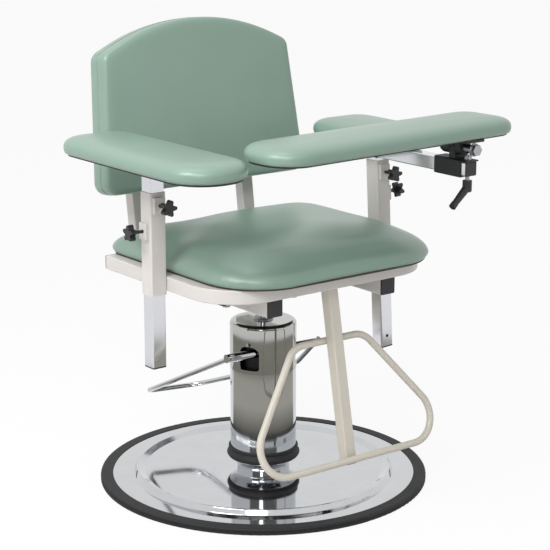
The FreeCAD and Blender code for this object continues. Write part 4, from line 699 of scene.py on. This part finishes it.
def stitch_row(name, points, thread, tree):
    """A row of stitches along a closed run of points."""
    data = bpy.data.meshes.new(name)
    count = len(points)
    data.from_pydata(points, [(k, (k + 1) % count) for k in range(count)], [])
    row = in_scene(name, data)
    sewing = row.modifiers.new("sewing", "NODES")
    sewing.node_group = tree
    settings = {"Pitch": STITCH_PITCH, "Stitch Length": STITCH_LENGTH,
                "Thread Radius": THREAD_RADIUS, "Thread": thread}
    for item in tree.interface.items_tree:
        if item.name in settings:
            sewing[item.identifier] = settings[item.name]
    apply_modifiers(row)
    row.data.materials.clear()
    row.data.materials.append(thread)
    shade_smooth(row.data)
    return row


def sewing_thread():
    """Bonded nylon thread, dyed to the vinyl: waxy, twisted, a shade darker than the skin."""
    material, tree = new_material("nylon_thread")
    place = add(tree, "ShaderNodeTexCoord").outputs["Object"]
    twist = add(tree, "ShaderNodeTexNoise", {"Vector": place, "Scale": per_metre(0.6), "Detail": 2.0})
    tint = add(tree, "ShaderNodeMix",
               {"Factor": twist.outputs["Fac"], FIRST_COLOUR: linear("#5F7669"),
                SECOND_COLOUR: linear("#6E8578")}, data_type="RGBA")
    dullness = add(tree, "ShaderNodeMapRange",
                   {"Value": twist.outputs["Fac"], "To Min": 0.45, "To Max": 0.6})
    finish_material(tree, {
        "Base Color": tint.outputs[MIXED_COLOUR],
        "Roughness": dullness.outputs["Result"],
        "IOR": 1.53,
    })
    return material


stitch_height = BOARD_SPACE + SEAM_SHARE * BACK_THICK - STITCH_OFFSET
stitch_points = [back_place @ Vector((p.x, p.y, stitch_height))
                 for p in rounded_outline(back_corners, STITCH_SINK)]
back_stitches = stitch_row("back_seam_stitches", stitch_points, sewing_thread(), stitch_tree())
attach(back_stitches, "seat")

for piece, body, node in (
    (seat, "seat", "seat_cushion"),
    (back, "seat", "back_cushion"),
    (right_pad, "right_arm", "right_arm_pad"),
    (left_pad, "left_arm", "left_arm_pad"),
    (flip_cushion, "flip_arm", "flip_pad"),
):
    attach(piece, body)
    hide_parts(node)


# Studio: a pale floor, glowing grey bands that only the metal mirrors, painted reflections of the floor
# and of the dim studio, and soft lamps.

def straight_or_mirrored(tree):
    """1 for what the camera sees straight, in a mirror or through glass, and 0 for the rest."""
    ray = add(tree, "ShaderNodeLightPath")
    mirrored = add(tree, "ShaderNodeMath", {0: ray.outputs["Is Glossy Ray"],
                                            1: ray.outputs["Is Transmission Ray"]},
                   operation="MAXIMUM")
    either = add(tree, "ShaderNodeMath", {0: ray.outputs["Is Camera Ray"], 1: mirrored.outputs[0]},
                 operation="MAXIMUM")
    return either.outputs[0]


def staged(name, points, faces, material):
    """A mesh that belongs to the studio and not to the object."""
    data = bpy.data.meshes.new(name)
    data.from_pydata(points, [], faces)
    data.materials.append(material)
    piece = in_scene(name, data)
    return piece


WHITE = (1, 1, 1, 1)
FLOOR_HALF, FLOOR_DROP = 30, 0.2 * MM
PAPER_HIDDEN = 0.9  # A tenth of the paper still shows, for the object's shadow.
floor_paper, tree = new_material("studio_paper")
paper = add(tree, "ShaderNodeBsdfDiffuse", {"Color": linear("#F4F4F4")})
white = add(tree, "ShaderNodeEmission", {"Color": WHITE, "Strength": 1.0})
share = add(tree, "ShaderNodeMath", {0: straight_or_mirrored(tree), 1: PAPER_HIDDEN},
            operation="MULTIPLY")
seen = add(tree, "ShaderNodeMixShader", {"Fac": share.outputs[0], 1: paper.outputs[0],
                                         2: white.outputs[0]})
add(tree, "ShaderNodeOutputMaterial", {"Surface": seen.outputs[0]})
floor_corners = [(x * FLOOR_HALF, y * FLOOR_HALF, -FLOOR_DROP)
                 for x, y in ((-1, -1), (1, -1), (1, 1), (-1, 1))]
staged("studio_floor", floor_corners, [(0, 1, 2, 3)], floor_paper)

# A glowing card that only mirrors see lies round the front of the base, a painted reflection of the
# floor. Its tones follow the distance from the base: darkest next to it, a painted contact shadow of
# the chair, then lighter, then darker again further out, where the floor's light is painted falling
# off.
floor_reflection_painted_shade, tree = new_material("floor_reflection_painted_shade")
place = add(tree, "ShaderNodeTexCoord").outputs["Object"]
apart = add(tree, "ShaderNodeVectorMath", {0: place}, operation="LENGTH")
tones = add(tree, "ShaderNodeValToRGB", {"Fac": apart.outputs["Value"]})
# Painted shade by distance: dark at the base for the chair's shadow, darker again past 0.7 m for the
# floor's fading light.
PAINTED_SHADE_TONES = ((0.30, "#3C3B38"), (0.38, "#8C8A82"), (0.50, "#BDB9AE"), (0.68, "#B9B6AB"),
              (0.72, "#99968D"), (0.90, "#A3A198"), (1.0, "#8E8C84"))
ramp = tones.color_ramp
for distance, tone in PAINTED_SHADE_TONES[1:-1]:
    ramp.elements.new(distance)
for element, (distance, tone) in zip(ramp.elements, PAINTED_SHADE_TONES):
    element.position = distance
    element.color = linear(tone)
# The card glows with these painted tones, though it is no lamp; only mirrors see it.
glow = add(tree, "ShaderNodeEmission", {"Color": tones.outputs["Color"], "Strength": 1.0})
add(tree, "ShaderNodeOutputMaterial", {"Surface": glow.outputs[0]})

# A glowing grey band behind the camera that only mirrors see: a painted reflection of the dim studio
# there, which the neck and the plate's bead mirror.
painted_studio_reflection, tree = new_material("painted_studio_reflection")
glow = add(tree, "ShaderNodeEmission", {"Color": linear("#7E7D7A"), "Strength": 1.0})
add(tree, "ShaderNodeOutputMaterial", {"Surface": glow.outputs[0]})

VIEW_DIRECTION = -37.5  # Degrees round from the chair's front to where the camera stands.
BAND_STEPS = 64
CARD_HEIGHT = 1 * MM


def mirrored_band(name, low, high, reach, material):
    """A band that only mirrors see, from one (radius, height) to another.

    It reaches that many degrees to either side of the view direction.
    """
    points, faces = [], []
    for k in range(BAND_STEPS + 1):
        angle = math.radians(VIEW_DIRECTION - reach + 2 * reach * k / BAND_STEPS)
        for radius, height in (low, high):
            points.append((math.sin(angle) * radius, -math.cos(angle) * radius, height))
        if k:
            faces.append((2 * k - 2, 2 * k - 1, 2 * k + 1, 2 * k))
    band = staged(name, points, faces, material)
    band.visible_camera = False
    band.visible_diffuse = False
    band.visible_shadow = False


# The floor card is a painted reflection with a painted shadow round the base.
mirrored_band("painted_floor_reflection", low=(0.31, CARD_HEIGHT), high=(1.0, CARD_HEIGHT), reach=122,
              material=floor_reflection_painted_shade)
# The grey band glows though it is no lamp: a painted reflection of the dim studio behind the camera.
mirrored_band("painted_studio_reflection", low=(3.8, 0.02), high=(3.8, 2.1), reach=48,
              material=painted_studio_reflection)

world = bpy.data.worlds.new("studio")
bpy.context.scene.world = world
world.use_nodes = True
tree = world.node_tree
tree.nodes.clear()
light = add(tree, "ShaderNodeBackground", {"Color": WHITE, "Strength": 0.55})
backdrop = add(tree, "ShaderNodeBackground", {"Color": WHITE, "Strength": 1.0})
sky = add(tree, "ShaderNodeMixShader", {"Fac": straight_or_mirrored(tree), 1: light.outputs[0],
                                        2: backdrop.outputs[0]})
add(tree, "ShaderNodeOutputWorld", {"Surface": sky.outputs[0]})


def soft_lamp(name, place, aim, size, watts):
    """A square lamp of this size across, turned to face a point."""
    data = bpy.data.lights.new(name, "AREA")
    data.shape = "SQUARE"
    data.size = size
    data.energy = watts
    lamp = in_scene(name, data)
    lamp.location = place
    lamp.rotation_euler = (Vector(aim) - Vector(place)).to_track_quat("-Z", "Y").to_euler()


soft_lamp("key_softbox", place=(-1.9, -2.0, 2.5), aim=(0, 0, 0.5), size=0.9, watts=30)
soft_lamp("side_softbox", place=(-1.5, -0.3, 1.8), aim=(-0.2, 0, 0.6), size=0.8, watts=23)
soft_lamp("top_softbox", place=(-0.4, 0.3, 2.6), aim=(-0.1, 0, 0.5), size=1.2, watts=8)
soft_lamp("edge_softbox", place=(-2.3, -2.3, 1.35), aim=(0, 0, 0.7), size=0.6, watts=5)

bpy.context.scene.view_settings.view_transform = "Standard"
